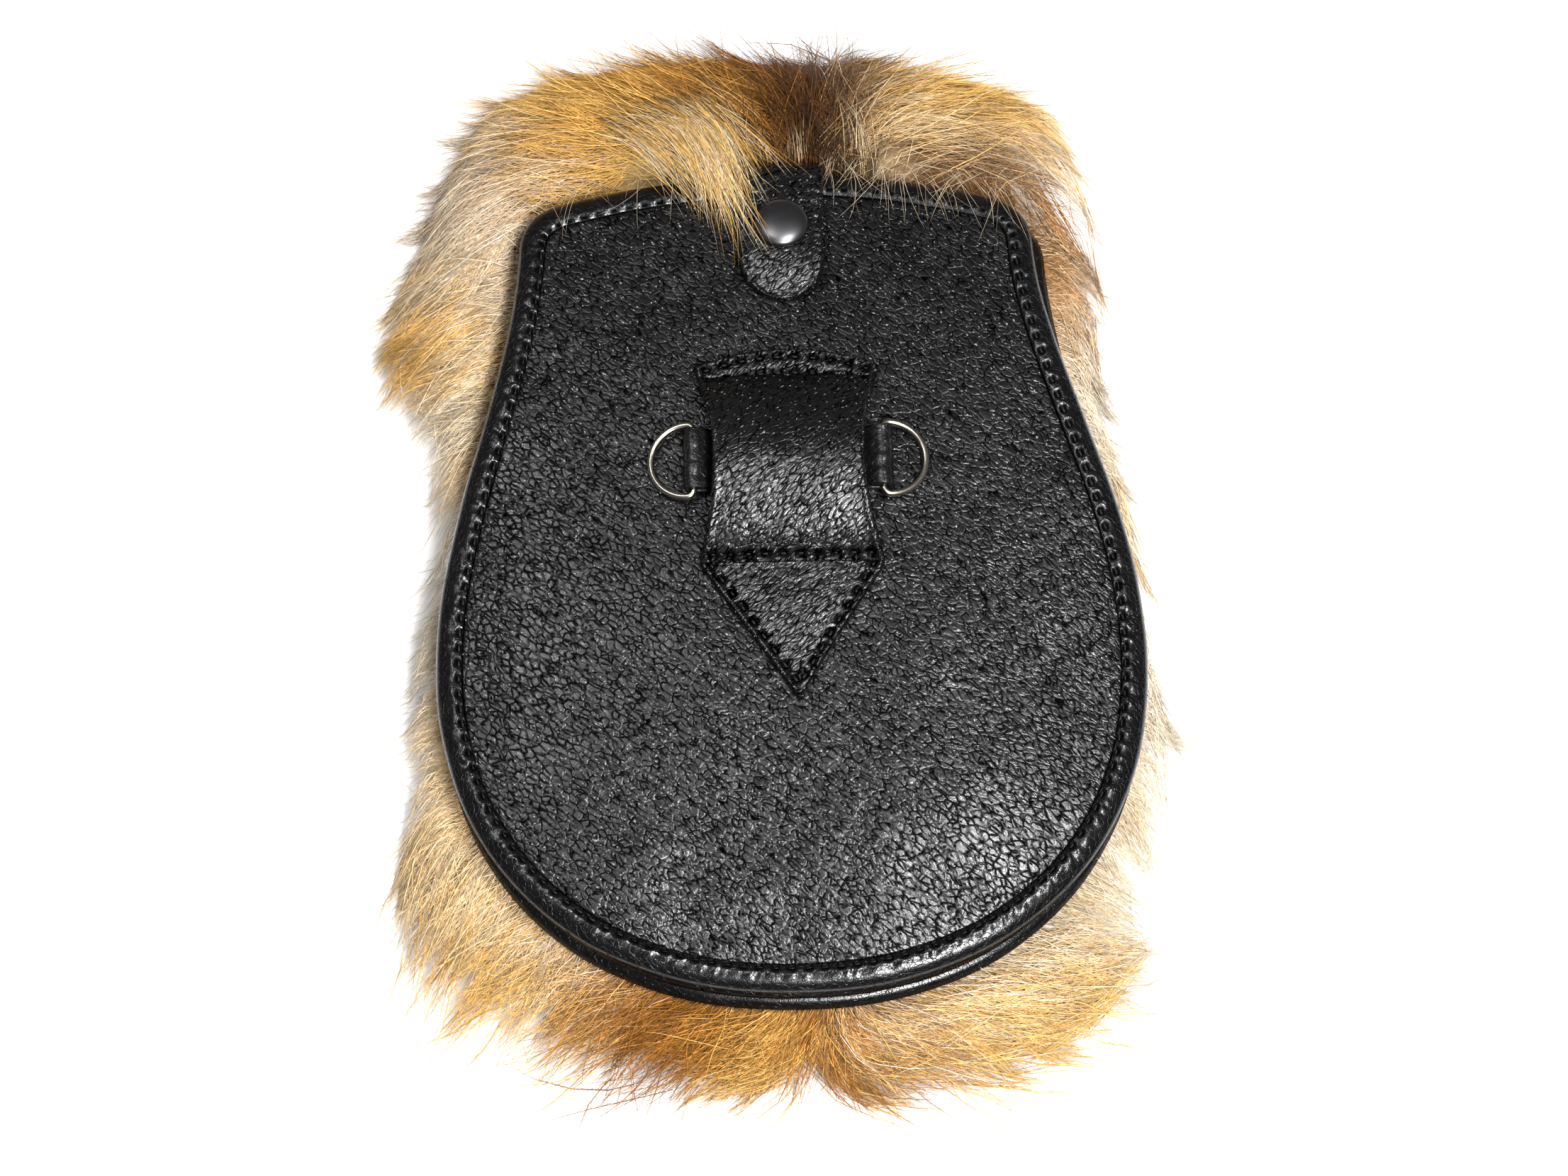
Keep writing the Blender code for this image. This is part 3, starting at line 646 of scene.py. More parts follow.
def make_borders(material):
    """The rolled borders of both panels. The front's shows no seam."""
    points, pit = border_points(rim(BORDER_ROWS, slip=RIGHT_SLIP), back_middle, BORDER_SIDES, 1.0, 11)
    faces = [ring_quads(BORDER_ROWS, BORDER_SIDES, closed=True)]
    # The stitch pits' mask, where the leather's colour gets painted shade.
    pit_shade_masks = {"seam": pit}
    make_piece(
        "back_border", points, faces, material, nodes=["back_binding"], amounts=pit_shade_masks
    )

    def front_middle(x, y):
        return FUR_TOP + GAP + BORDER_HALF_HEIGHT + 0 * x * y

    loop = rim(FRONT_BORDER_ROWS, drop=FRONT_DROP)
    points, _ = border_points(loop, front_middle, FRONT_BORDER_SIDES, 0.0, 12)
    faces = [ring_quads(FRONT_BORDER_ROWS, FRONT_BORDER_SIDES, closed=True)]
    make_piece("front_border", points, faces, material, nodes=["front_binding"])


GUSSET_ROWS = 330
GUSSET_LEVELS = 15


def make_gusset_leather(material):
    """The side wall round the foot, tucked in at half height by a sine, with folds that vary the tuck."""
    front, back = rim(GUSSET_ROWS, drop=FRONT_DROP), rim(GUSSET_ROWS, slip=RIGHT_SLIP)
    keep = (back[:, 1] < GUSSET_TOP_Y).nonzero()[0]
    away = outward(back)[keep]
    low = (front - outward(front) * GUSSET_INSET)[keep]
    high = (back - outward(back) * GUSSET_INSET)[keep]
    low_z = FUR_TOP + 2 * GAP + 2 * BORDER_HALF_HEIGHT
    high_z = back_height(*back[keep].T) - LEATHER / 2 - BORDER_HALF_HEIGHT - GAP
    share = np.linspace(0, 1, GUSSET_LEVELS)
    far = along(back[keep])
    fold = soft_noise(far[:, None] + 0 * share, share * 0.010 + 0 * far[:, None], 0.0062, 21)
    tuck = GUSSET_TUCK * np.sin(math.pi * share)[None, :] * (1 + 0.35 * fold)
    middle = low[:, None] + (high - low)[:, None] * share[:, None] - away[:, None] * tuck[..., None]
    height = low_z + (high_z - low_z)[:, None] * share
    outer = np.dstack([middle + away[:, None] * GUSSET_WALL / 2, height])
    inner = np.dstack([middle - away[:, None] * GUSSET_WALL / 2, height])[:, ::-1]
    sections = np.concatenate([outer, inner], axis=1)
    rows, sides = sections.shape[:2]
    end = np.arange(GUSSET_LEVELS - 1)
    cap = np.column_stack([end, end + 1, sides - 2 - end, sides - 1 - end])
    faces = [ring_quads(rows, sides), cap, cap[:, ::-1] + (rows - 1) * sides]
    make_piece("gusset_leather", sections, faces, material, nodes=["gusset"])


# ---- Straps ----


def strap(surface, stations, half, thickness, columns, lip, relief, closed=False):
    """The points and faces of a strap of leather laid on a surface, with rounded edges and ends.

    surface(v, x) gives points for stations v and offsets x from the middle, and half(v) is half the width.
    The section is a closed loop of offsets and heights: flat above and below, and half an ellipse at each
    edge. Each point is the surface's point pushed along the surface's normal by height times thickness. At
    an end that isn't closed on itself the last rows close in on mid height, as a quarter turn. The relief
    raises the upper face only.
    """
    core = np.linspace(-1, 1, columns)
    right = np.radians([67.5, 22.5, -22.5, -67.5])
    left = np.pi - right[::-1]
    side = np.concatenate([core, np.ones(4), core[::-1], -np.ones(4)])
    out = np.concatenate([0 * core, np.cos(right), 0 * core, np.cos(left)])
    level = np.concatenate([0 * core + 1, 0.5 + np.sin(right) / 2, 0 * core, 0.5 + np.sin(left) / 2])
    stations = np.asarray(stations, float)
    squeeze = np.ones(len(stations))
    if not closed:
        turns = np.radians([75, 50, 25])
        way = np.sign(stations[1] - stations[0])
        start = stations[0] - way * lip * np.sin(turns)
        finish = stations[-1] + way * lip * np.sin(turns[::-1])
        stations = np.concatenate([start, stations, finish])
        squeeze = np.concatenate([np.cos(turns), squeeze, np.cos(turns[::-1])])
    widths = half(stations)
    edge = np.minimum(lip, widths * 0.9)[:, None]
    x = side * (widths[:, None] - edge) + out * edge
    v = stations[:, None] + 0 * x
    base = surface(v, x)
    step = 0.0002
    down_v = surface(v + step, x) - surface(v - step, x)
    down_x = surface(v, x + step) - surface(v, x - step)
    normal = unit(np.cross(down_x, down_v))
    if not closed:
        normal *= np.sign(normal[:, columns // 2, 2].sum())
    height = (0.5 + (level - 0.5) * squeeze[:, None]) * thickness
    height = height + relief(v, x) * smoothstep(level * 1.6 - 0.6) * squeeze[:, None]
    points = base + normal * height[..., None]
    rows, sides = x.shape
    faces = [ring_quads(rows, sides, closed)]
    if not closed:
        upper = np.concatenate([[sides - 2, sides - 1], np.arange(columns + 2)])
        lower = np.concatenate([[sides - 3, sides - 4], np.arange(2 * columns + 3, columns + 1, -1)])
        cap = np.column_stack([upper[:-1], upper[1:], lower[1:], lower[:-1]])
        faces += [cap, cap[:, ::-1] + (rows - 1) * sides]
    return points, faces


THREAD_WIDTH = 0.0009
THREAD_HEIGHT = 0.0007
BORDER_STITCH_LENGTH = 0.0030
LOOP_STITCH_LENGTH = 0.0026
STITCH_SLANT = 0.12


def stitch_row(path, normals, length, width, height, slant=0.0):
    """Separate stitches laid along a path: capsules of 7 by 6 points.

    Each is a unit capsule, its ends closed in as half circles, scaled to length, width and height in the
    frame of the path's direction, the normal and their cross product. Its ends dip into the leather by the
    fourth power of the distance from its middle.
    """
    count = len(path)
    direction = unit(np.gradient(path, axis=0))
    beside = unit(np.cross(normals, direction))
    if slant:
        direction = direction * math.cos(slant) + beside * math.sin(slant)
        beside = np.cross(normals, direction)
    place = np.array([-1, -0.9, -0.55, 0, 0.55, 0.9, 1])
    radius = np.array([0.1, 0.6, 1, 0.95, 1, 0.6, 0.1])
    sag = -(place**4)
    turn = np.arange(6) * math.pi / 3
    unit_x = np.repeat(place, 6)
    unit_y = np.outer(radius, np.cos(turn)).ravel()
    unit_z = np.outer(radius, np.sin(turn)).ravel()
    points = (
        path[:, None]
        + direction[:, None] * unit_x[:, None] * length / 2
        + beside[:, None] * unit_y[:, None] * width / 2
        + normals[:, None] * (unit_z * height / 2 + np.repeat(sag, 6) * height * 0.6)[:, None]
    )
    rows, sides = len(place), 6
    one = ring_quads(rows, sides)
    start = np.array([[0, 1, 2, 3], [0, 3, 4, 5]])
    one = np.vstack([one, start[:, ::-1], start + (rows - 1) * sides])
    faces = one[None] + (np.arange(count) * rows * sides)[:, None, None]
    around = np.tile(turn / (2 * math.pi), rows)
    uv = np.column_stack([np.tile(unit_x * length / 2, count), np.tile(around, count)])
    return points.reshape(-1, 3), faces.reshape(-1, 4), uv


def make_thread(name, rows, material):
    """Several rows of stitches as one joined mesh."""
    points, faces, uvs, first = [], [], [], 0
    for made_points, made_faces, uv in rows:
        points.append(made_points)
        faces.append(made_faces + first)
        uvs.append(uv)
        first += len(made_points)
    make_piece(name, np.vstack(points), [np.vstack(faces)], material, uv=np.vstack(uvs))


def make_border_thread(material):
    """One stitch at the bottom of each pit of the border's seam."""
    loop = rim(BORDER_ROWS, slip=RIGHT_SLIP)
    far = along(rejoin(loop))
    count = round(far[-1] / STITCH_PITCH)
    wanted = np.arange(count) * far[-1] / count
    line = seam_line(loop)
    flat = loop - outward(loop) * (BORDER_HALF_WIDTH - line)[:, None]
    out, rise, upper = border_section(BORDER_SIDES)
    section = np.interp(line, out[:upper] * BORDER_HALF_WIDTH, rise[:upper])
    height = back_middle(flat[:, 0], flat[:, 1]) + BORDER_HALF_HEIGHT * section - PIT_THREAD_DEPTH
    path = points_at(wanted, far, rejoin(np.column_stack([flat, height])))
    up = np.tile([0.0, 0.0, 1.0], (count, 1))
    row = stitch_row(path, up, BORDER_STITCH_LENGTH, THREAD_WIDTH, THREAD_HEIGHT, STITCH_SLANT)
    make_thread("border_thread", [row], material)


# Where the tab lies on the back, and how far it dips there below the stud's height
TAB_LYING = ((0.1060, 0.0), (0.0950, 0.0), (TAB_TIP_Y, 0.0024))
TAB_COLUMNS = 42
TAB_LIP = 0.0011


def tab_path():
    """The tab's underside from its tip on the back, over the mouth, to its root, as close points."""
    border_top = back_height(0, TOP_Y) - LEATHER / 2 + BORDER_HALF_HEIGHT
    behind = TOP_Y + TAB_OUT
    lying = [(y, back_height(0, y) + STUD_LIFT - dip) for y, dip in TAB_LYING]
    line = smooth_path(
        [
            (behind, FUR_TOP + 2 * GAP),
            (behind + 0.0004, FUR_TOP + 0.0060),
            (behind + 0.0014, border_top - 0.0060),
            (behind - 0.0004, border_top - 0.0010),
            (TOP_Y - BORDER_HALF_WIDTH, border_top + 0.0015),
            *lying,
        ],
        400,
    )[::-1]
    return line, along(line)


def make_tab_leather(material):
    """The tab: a strap along its path, with a half-round tip and rolled edges, creased where it bends."""
    line, far = tab_path()

    def surface(v, x):
        before = np.minimum(v, 0.0)
        y = np.interp(v, far, line[:, 0]) + before * (line[1, 0] - line[0, 0]) / far[1]
        z = np.interp(v, far, line[:, 1]) + before * (line[1, 1] - line[0, 1]) / far[1]
        return np.dstack([TAB_X + x, y, z])

    def relief(v, x):
        bend = np.exp(-(((v - 0.033) / 0.012) ** 2))
        across = ridged_noise(v, x / 3.0, 0.0024, 31) - 0.55
        hem = np.exp(-(((np.abs(x) - 0.0103) / 0.0016) ** 2))
        hem = hem * np.sin((v + 0.5 * np.abs(x)) * 2 * math.pi / 0.0021)
        grain = (ridged_noise(x, v, 0.0028, 32) - 0.6) * 0.00012
        crown = -0.0006 * (x / TAB_HALF_WIDTH) ** 2 - 0.0006 * (1 - smoothstep(v / 0.011))
        rolled = np.exp(-(((np.abs(x) - half(v) + 0.0014) / 0.0009) ** 2)) * 0.00032
        return across * 0.00030 * (0.25 + bend) + hem * 0.00007 + grain + crown + rolled

    def half(v):
        return TAB_HALF_WIDTH * np.sqrt(1 - (1 - v.clip(0.00004) / TAB_HALF_WIDTH).clip(0) ** 2)

    turns = np.radians(np.linspace(25, 90, 22))
    tip = TAB_HALF_WIDTH * (1 - np.cos(turns))
    stations = np.concatenate([tip, np.linspace(TAB_HALF_WIDTH, far[-1] - 0.0012, 130)[1:]])
    points, faces = strap(surface, stations, half, TAB_THICKNESS, TAB_COLUMNS, TAB_LIP, relief)
    make_piece("tab_leather", points, faces, material, nodes=["closure_tab"])


RIM_ROUND = 0.0003
STUD_SIDES = 72


def make_stud_cap(material):
    """The press stud turned from one profile: a dome with a rounded rim, a post and a flat socket."""
    over_tab = STUD_LIFT + TAB_THICKNESS + GAP
    turns = np.radians(np.linspace(3, 84, 22))
    height = over_tab + 2 * RIM_ROUND + (STUD_CAP_HEIGHT - 2 * RIM_ROUND) * np.cos(turns)
    dome = np.column_stack([STUD_CAP_RADIUS * np.sin(turns), height])
    low_rim = np.radians([0, 30, 60, 90])
    rim_radius = STUD_CAP_RADIUS - RIM_ROUND + RIM_ROUND * np.cos(low_rim)
    rim_height = over_tab + RIM_ROUND - RIM_ROUND * np.sin(low_rim)
    hidden = [
        (0.0022, over_tab),
        (0.0020, over_tab - 0.0002),
        (0.0020, STUD_LIFT - 2 * GAP),
        (0.0050, STUD_LIFT - 2 * GAP),
        (0.0052, STUD_LIFT - 0.0010),
        (0.0052, 0.0004),
        (0.0048, 0.0),
    ]
    profile = np.vstack([dome, np.column_stack([rim_radius, rim_height]), hidden])
    around = np.arange(STUD_SIDES) * 2 * math.pi / STUD_SIDES
    radius, height = profile[:, :1], profile[:, 1:]
    rings = np.stack([radius * np.cos(around), radius * np.sin(around), height + 0 * around], axis=2)
    points, faces = shell(rings, (0, 0, over_tab + STUD_CAP_HEIGHT), (0, 0, 0))
    slope = math.atan((back_height(0, STUD_Y + 0.005) - back_height(0, STUD_Y - 0.005)) / 0.010)
    y, z = points[:, 1].copy(), points[:, 2].copy()
    points[:, 0] += TAB_X
    points[:, 1] = STUD_Y + y * math.cos(slope) - z * math.sin(slope)
    points[:, 2] = back_height(TAB_X, STUD_Y) + GAP + y * math.sin(slope) + z * math.cos(slope)
    make_piece("stud_cap", points, faces, material, nodes=["press_stud"])


# ---- Belt loop ----

LOOP_Y, LOOP_HALF = np.array(LOOP_ROWS).T

# The loop's seams, each from one offset and station to another, with its number of stitches
LOOP_SEAMS = (
    ((-0.0222, LOOP_Y[0] - 0.0021), (0.0222, LOOP_Y[0] - 0.0021), 10),
    ((-0.0214, LOOP_Y[0] - 0.0060), (0.0214, LOOP_Y[0] - 0.0060), 10),
    ((-0.0215, 0.0064), (0.0215, 0.0064), 10),
    ((-0.0220, 0.0032), (-0.0006, -0.0290), 9),
    ((0.0220, 0.0032), (0.0018, -0.0282), 9),
)
CHANNEL_HALF_WIDTH = 0.0008
CHANNEL_DEPTH = 0.00014
DIP_HALF_LENGTH = 0.0012
DIP_HALF_WIDTH = 0.00085
DIP_DEPTH = 0.00120
LOOP_THREAD_DEPTH = 0.00142
LOOP_BEND_Y = 0.0035
LOOP_END_Y = -0.0326
LOOP_COLUMNS = 90
LOOP_LIP = 0.0009


def loop_half_width(v):
    """Half the loop's width at a station, read between the rows of its table and softened at its corners."""
    spread = np.linspace(-0.0016, 0.0016, 5)
    wide = np.interp(-(np.asarray(v)[..., None] + spread), -LOOP_Y, LOOP_HALF).mean(axis=-1)
    return np.where(np.asarray(v) > 0.0590, np.interp(-np.asarray(v), -LOOP_Y, LOOP_HALF), wide)


def loop_surface(v, x):
    """The loop's underside: it follows the back, arches off it in the middle, and its top edge is an arc."""
    share = smoothstep((v - 0.0400) / (LOOP_Y[0] - 0.0400))
    y = v + LOOP_TOP_ARC * share * (1 - (x / loop_half_width(v)).clip(-1, 1) ** 2)
    drift = LOOP_TIP_SHIFT * np.clip((0.030 - v) / 0.0635, 0, 1)
    part = np.clip((LOOP_ARCH_TOP_Y - y) / (LOOP_ARCH_TOP_Y - LOOP_ARCH_FOOT_Y), 0, 1)
    arch = LOOP_ARCH * np.sin(math.pi * part).clip(0) ** 0.8
    place = drift + x
    return np.stack([place, y, back_height(place, y) + GAP + arch], axis=-1)


def seam_hollows(seams, here):
    """How deep each place is in the shallow line along a seam, and in the dip at one of its stitches.

    Both are bell curves of the distance, and along the seam a dip falls off by the fourth power.
    """
    channel = np.zeros(here.shape[:2])
    dips = np.zeros(here.shape[:2])
    for seam in seams:
        line = loop_surface(seam[:, 1], seam[:, 0])[:, :2]
        for start, end in zip(line[:-1], line[1:]):
            step = end - start
            share = (((here - start) @ step) / (step @ step)).clip(0, 1)
            far = np.linalg.norm(here - start - share[..., None] * step, axis=-1)
            channel = np.maximum(channel, np.exp(-((far / CHANNEL_HALF_WIDTH) ** 2)))
        way = (line[-1] - line[0]) / np.linalg.norm(line[-1] - line[0])
        for spot in line:
            ahead = (here - spot) @ way
            aside = np.linalg.norm(here - spot - ahead[..., None] * way, axis=-1)
            dip = np.exp(-((ahead / DIP_HALF_LENGTH) ** 4) - (aside / DIP_HALF_WIDTH) ** 2)
            dips = np.maximum(dips, dip)
    return channel, dips


def make_loop(leather, thread):
    """The belt loop, with rolled edges, slanting creases and sewn-in seams, and its thread."""
    seams = [np.linspace(start, end, count) for start, end, count in LOOP_SEAMS]
    pit_shade_masks = {}

    def relief(v, x):
        channel, dips = seam_hollows(seams, loop_surface(v, x)[..., :2])
        # The stitch pits' mask, where the leather's colour gets painted shade.
        pit_shade_masks["seam"] = np.sqrt(dips.clip(0, 1))
        rolled = np.exp(-(((np.abs(x) - loop_half_width(v) + 0.0013) / 0.0009) ** 2)) * 0.00032
        slant = (ridged_noise((x + v) / 2.6, v - x, 0.0030, 41) - 0.6) * 0.00016
        drift = soft_noise(x, v, 0.011, 42) * 0.00014
        return -CHANNEL_DEPTH * channel - DIP_DEPTH * dips + rolled + slant + drift

    upper = np.linspace(LOOP_Y[0] - LOOP_LIP, LOOP_BEND_Y, 126)
    lower = np.linspace(LOOP_BEND_Y, LOOP_END_Y, 82)[1:]
    stations = np.concatenate([upper, lower])
    points, faces = strap(
        loop_surface, stations, loop_half_width, LOOP_THICKNESS, LOOP_COLUMNS, LOOP_LIP, relief
    )
    make_piece(
        "loop_leather", points, faces, leather, nodes=["belt_loop"], amounts=pit_shade_masks
    )
    rows = []
    step = 0.0002
    for seam in seams:
        x, v = seam.T
        ahead = loop_surface(v + step, x) - loop_surface(v - step, x)
        aside = loop_surface(v, x + step) - loop_surface(v, x - step)
        normal = unit(np.cross(aside, ahead))
        path = loop_surface(v, x) + normal * (LOOP_THICKNESS - LOOP_THREAD_DEPTH)
        rows.append(stitch_row(path, normal, LOOP_STITCH_LENGTH, THREAD_WIDTH, THREAD_HEIGHT))
    make_thread("loop_thread", rows, thread)


# ---- Ring strap and rings ----

RING_STRAP_ROWS = 170
RING_STRAP_COLUMNS = 23
LAYER_THICKNESS = 0.00150
LAYER_GAP = 0.00005
LAYER_LIP = 0.0006
RING_SIDES = 16
RING_ROWS = 128


def strap_base():
    """The height of the ring strap's underside."""
    return float(back_height(0, RING_STRAP_Y)) + GAP


def make_ring_strap(material):
    """A band 1.5 mm thick, folded flat on itself and rolled round both bars, from its inner face's path.

    The inner face runs at 1.35 mm round each bar, and comes back over the flat part, where it meets the
    lower layer. Crease lines run along the rolls.
    """
    layer = RING_STRAP_HEIGHT / 2
    turns = np.radians(np.array([-90, -60, -25, 10, 45, 80, 112]))
    inner = WIRE_RADIUS + GAP + LAYER_GAP
    right = [(BAR_X + inner * math.cos(a), ROLL_RADIUS + inner * math.sin(a)) for a in turns]
    right = [(BAR_X - 0.0060, layer - LAYER_GAP), *right]
    right += [(BAR_X - 0.0028, ROLL_RADIUS + 0.0002), (BAR_X - 0.0056, layer + 0.0002)]
    left = [(-x, z) for x, z in reversed(right)]
    middle = (-0.0140, -0.0070, 0.0070, 0.0140)
    middle_low = [(x, layer - LAYER_GAP) for x in middle]
    middle_top = [(x, layer + LAYER_GAP) for x in reversed(middle)]
    corners = [*middle_low, *right, *middle_top, *left]
    closed = smooth_path([corners[-1], *corners, corners[0], corners[1]], 900)
    once_round = np.abs(np.linspace(-1, len(corners) + 1, 900) - len(corners) / 2) <= len(corners) / 2
    ring = rejoin(even_path(closed[once_round], RING_STRAP_ROWS))
    far = along(ring)
    base = strap_base()

    def surface(v, x):
        v = np.mod(v, far[-1])
        across, up = (np.interp(v, far, ring[:, axis]) for axis in (0, 1))
        return np.dstack([across, RING_STRAP_Y + x, base + up])

    def relief(v, x):
        return (ridged_noise(x, v / 2.5, 0.0023, 51) - 0.6) * 0.00045

    def half(v):
        return RING_STRAP_WIDTH / 2 + 0 * v

    points, faces = strap(
        surface, far[:-1], half, LAYER_THICKNESS, RING_STRAP_COLUMNS, LAYER_LIP, relief, closed=True
    )
    make_piece("ring_strap_leather", points, faces, material, nodes=["ring_strap"])


def make_rings(material):
    """Each D: a half circle of wire, two short corners and the straight bar, as a round tube.

    The tube's section is a circle of 16 points square to the closed path.
    """
    arc_x = RING_REACH - RING_HALF_SPAN
    arc = np.radians(np.linspace(-90, 90, 60))
    route = [(arc_x + RING_HALF_SPAN * math.cos(a), RING_HALF_SPAN * math.sin(a)) for a in arc]
    corner = np.radians(np.linspace(90, 180, 12))[1:]
    inner = RING_HALF_SPAN - RING_CORNER
    upper = [(RING_CORNER + RING_CORNER * math.cos(a), inner + RING_CORNER * math.sin(a)) for a in corner]
    route += upper + [(x, -y) for x, y in reversed(upper)]
    path = even_path(np.array(route), RING_ROWS)
    normals = outward(path)
    turn = np.arange(RING_SIDES) * 2 * math.pi / RING_SIDES
    flat = path[:, None] + normals[:, None] * (WIRE_RADIUS * np.cos(turn))[:, None]
    ring = np.dstack([flat, 0 * flat[..., 0] + WIRE_RADIUS * np.sin(turn)]).reshape(-1, 3)
    far = BAR_X + RING_REACH
    rest_z = float(back_height(far, RING_Y)) + WIRE_RADIUS + 2 * GAP
    tilt = math.asin((strap_base() + ROLL_RADIUS - rest_z) / RING_REACH)
    tilted = np.column_stack(
        [
            ring[:, 0] * math.cos(tilt) + ring[:, 2] * math.sin(tilt),
            ring[:, 1],
            -ring[:, 0] * math.sin(tilt) + ring[:, 2] * math.cos(tilt),
        ]
    )
    for name, node, side in (("ring_wire_left", "d_ring_left", -1), ("ring_wire_right", "d_ring_right", 1)):
        points = tilted * (side, side, 1) + (side * BAR_X, RING_Y, strap_base() + ROLL_RADIUS)
        faces = [ring_quads(RING_ROWS, RING_SIDES, closed=True)]
        body = "ring_left" if side < 0 else "ring_right"
        make_piece(name, points, faces, material, body=body, nodes=[node])


# ---- Fur ----

HAIR_BRIGHTNESS = 1.36
BRIGHTEST = 0.96
COMB_PLACE = np.array([(x, y) for x, y, _, _ in COMBING]) / 1000
COMB_WAY = np.radians([heading for _, _, heading, _ in COMBING])
COMB_COLOUR = linear([HAIR[colour] for _, _, _, colour in COMBING]) * HAIR_BRIGHTNESS
OUTER_RIM = rim(400, drop=FRONT_DROP)
SIDE_TOP = 0.098
SIDE_FOOT = -0.050
WHORL = np.array([0.0040, 0.1470])
WHORL_SIZE = 0.016
HAIR_SIDES = 3
HAIR_ROOM = np.array([0.0160, 0.0187, 0.0110])
HAIRS_A_CLUMP = 20
THICK_HAIR = 0.00016
FINE_HAIR = 0.00009
SHORTEST_HAIR = 0.72
CEILING = 0.0168
HIGHEST_ROOT = 0.0540
HIGHEST_TIP = 0.0090
WOOL_VOXEL = 0.0030


def comb_weights(place, spread):
    """How much each row of the combing table counts at each place: a bell curve of distance."""
    far = ((place[:, None] - COMB_PLACE[None]) ** 2).sum(axis=2)
    nearest = far.min(axis=1, keepdims=True)
    weight = np.exp(-(far - nearest) / (2 * spread**2))
    return weight / weight.sum(axis=1, keepdims=True)


def comb_way(place):
    """The way the hair points at each place, as a unit vector."""
    weight = comb_weights(place, 0.0095)
    return unit(weight @ np.column_stack([np.cos(COMB_WAY), np.sin(COMB_WAY)]))


def beyond_rim(place):
    """How far each place is outside the pouch's outline; below zero inside it."""
    out = np.empty(len(place))
    normals = outward(OUTER_RIM)
    for first in range(0, len(place), 20000):
        part = place[first : first + 20000]
        away = part[:, None] - OUTER_RIM[None]
        far = (away**2).sum(axis=2)
        nearest = far.argmin(axis=1)
        offset = away[np.arange(len(part)), nearest]
        side = (offset * normals[nearest]).sum(axis=1)
        out[first : first + 20000] = np.sqrt(far[np.arange(len(part)), nearest]) * np.sign(side)
    return out


def reach_share(place):
    """Distance from the fur's middle over the fur's reach in that direction."""
    away = place - FUR_MIDDLE
    direction = np.degrees(np.arctan2(away[:, 1], away[:, 0]))
    rows = np.array(FUR_ROWS, float)
    reach = np.interp(direction, rows[:, 0], rows[:, 1], period=360)
    return np.linalg.norm(away, axis=1) / reach


def hair_ceiling(place, beyond):
    """The greatest height of hair that comes out from under the leather.

    It climbs with distance from the rim, gently at the sides and steeply by the mouth.
    """
    slope = 0.50 + 2.6 * smoothstep((place[..., 1] - SIDE_TOP) / 0.014)
    return CEILING + slope * (beyond - 0.0012).clip(0)


class FurTop:
    """Height of the fur's top by place: the greater of a falling curve and the undercoat's height map.

    The curve falls from a crown at the pouch's rim to the ground at the fur's reach, and the map holds the
    undercoat's highest point in each cell of a square net, spread to its neighbours and then blended.
    """

    cell = 0.0030
    half = 70

    def __init__(self, points):
        self.map = np.zeros((2 * self.half, 2 * self.half))
        index = self.cells(points[:, :2])
        np.maximum.at(self.map, (index[:, 0], index[:, 1]), points[:, 2])
        for blend in (np.max, np.mean):
            padded = np.pad(self.map, 1, mode="edge")
            near = [padded[i : i + 2 * self.half, j : j + 2 * self.half] for i in range(3) for j in range(3)]
            self.map = blend(near, axis=0)

    def cells(self, place):
        """The row and column of each place in the net."""
        return np.clip((place / self.cell).astype(int) + self.half, 0, 2 * self.half - 1)

    def __call__(self, place):
        beyond = beyond_rim(place)
        share = reach_share(place)
        far = np.linalg.norm(place - FUR_MIDDLE, axis=1)
        room = np.maximum(far / share.clip(0.05) * (1 - share) + beyond, 0.006)
        along_out = np.clip(beyond / room, 0, 1)
        y = place[:, 1]
        crown = 21.0 + 13.0 * smoothstep((y - 0.095) / 0.030) + 1.5 * smoothstep((-y - 0.05) / 0.05)
        curve = crown / 1000 * (1 - along_out**2.1).clip(0) ** 0.62
        index = self.cells(place)
        return np.maximum(curve, self.map[index[:, 0], index[:, 1]] + 0.0006)


def hairs(curves, radius):
    """The points and faces of closed tapering prisms along curves, an array of hairs by points by 3.

    Each section is a triangle square to the curve. It is widest at a third of the length, and the last point
    is the tip.
    """
    count, steps = curves.shape[:2]
    direction = unit(np.gradient(curves, axis=1))
    beside = unit(np.cross(direction, [0.0, 0.0, 1.0]))
    above = np.cross(beside, direction)
    share = np.linspace(0, 1, steps)[:-1]
    swell = 0.70 + 0.30 * np.sin(math.pi * np.minimum(share * 1.5, 1.0)) - 0.35 * share**2
    turn = np.arange(HAIR_SIDES) * 2 * math.pi / HAIR_SIDES + math.pi / 2
    thick = (radius[:, None] * swell)[..., None, None]
    rings = curves[:, :-1, None] + thick * (
        beside[:, :-1, None] * np.cos(turn)[:, None] + above[:, :-1, None] * np.sin(turn)[:, None]
    )
    points = np.concatenate([rings.reshape(count, -1, 3), curves[:, -1:]], axis=1)
    per = points.shape[1]
    quads = ring_quads(steps - 1, HAIR_SIDES)
    side = np.arange(HAIR_SIDES)
    last = (steps - 2) * HAIR_SIDES
    tips = np.column_stack([last + side, np.full(HAIR_SIDES, per - 1), last + (side + 1) % HAIR_SIDES])
    root = np.array([[0, 1, 2]])
    shift = (np.arange(count) * per)[:, None, None]
    faces = [(group[None] + shift).reshape(-1, group.shape[1]) for group in (quads, tips, root)]
    return points.reshape(-1, 3), faces


def turned(way, angle):
    """Unit vectors turned by an angle each."""
    cos, sin = np.cos(angle), np.sin(angle)
    return np.column_stack([way[:, 0] * cos - way[:, 1] * sin, way[:, 0] * sin + way[:, 1] * cos])


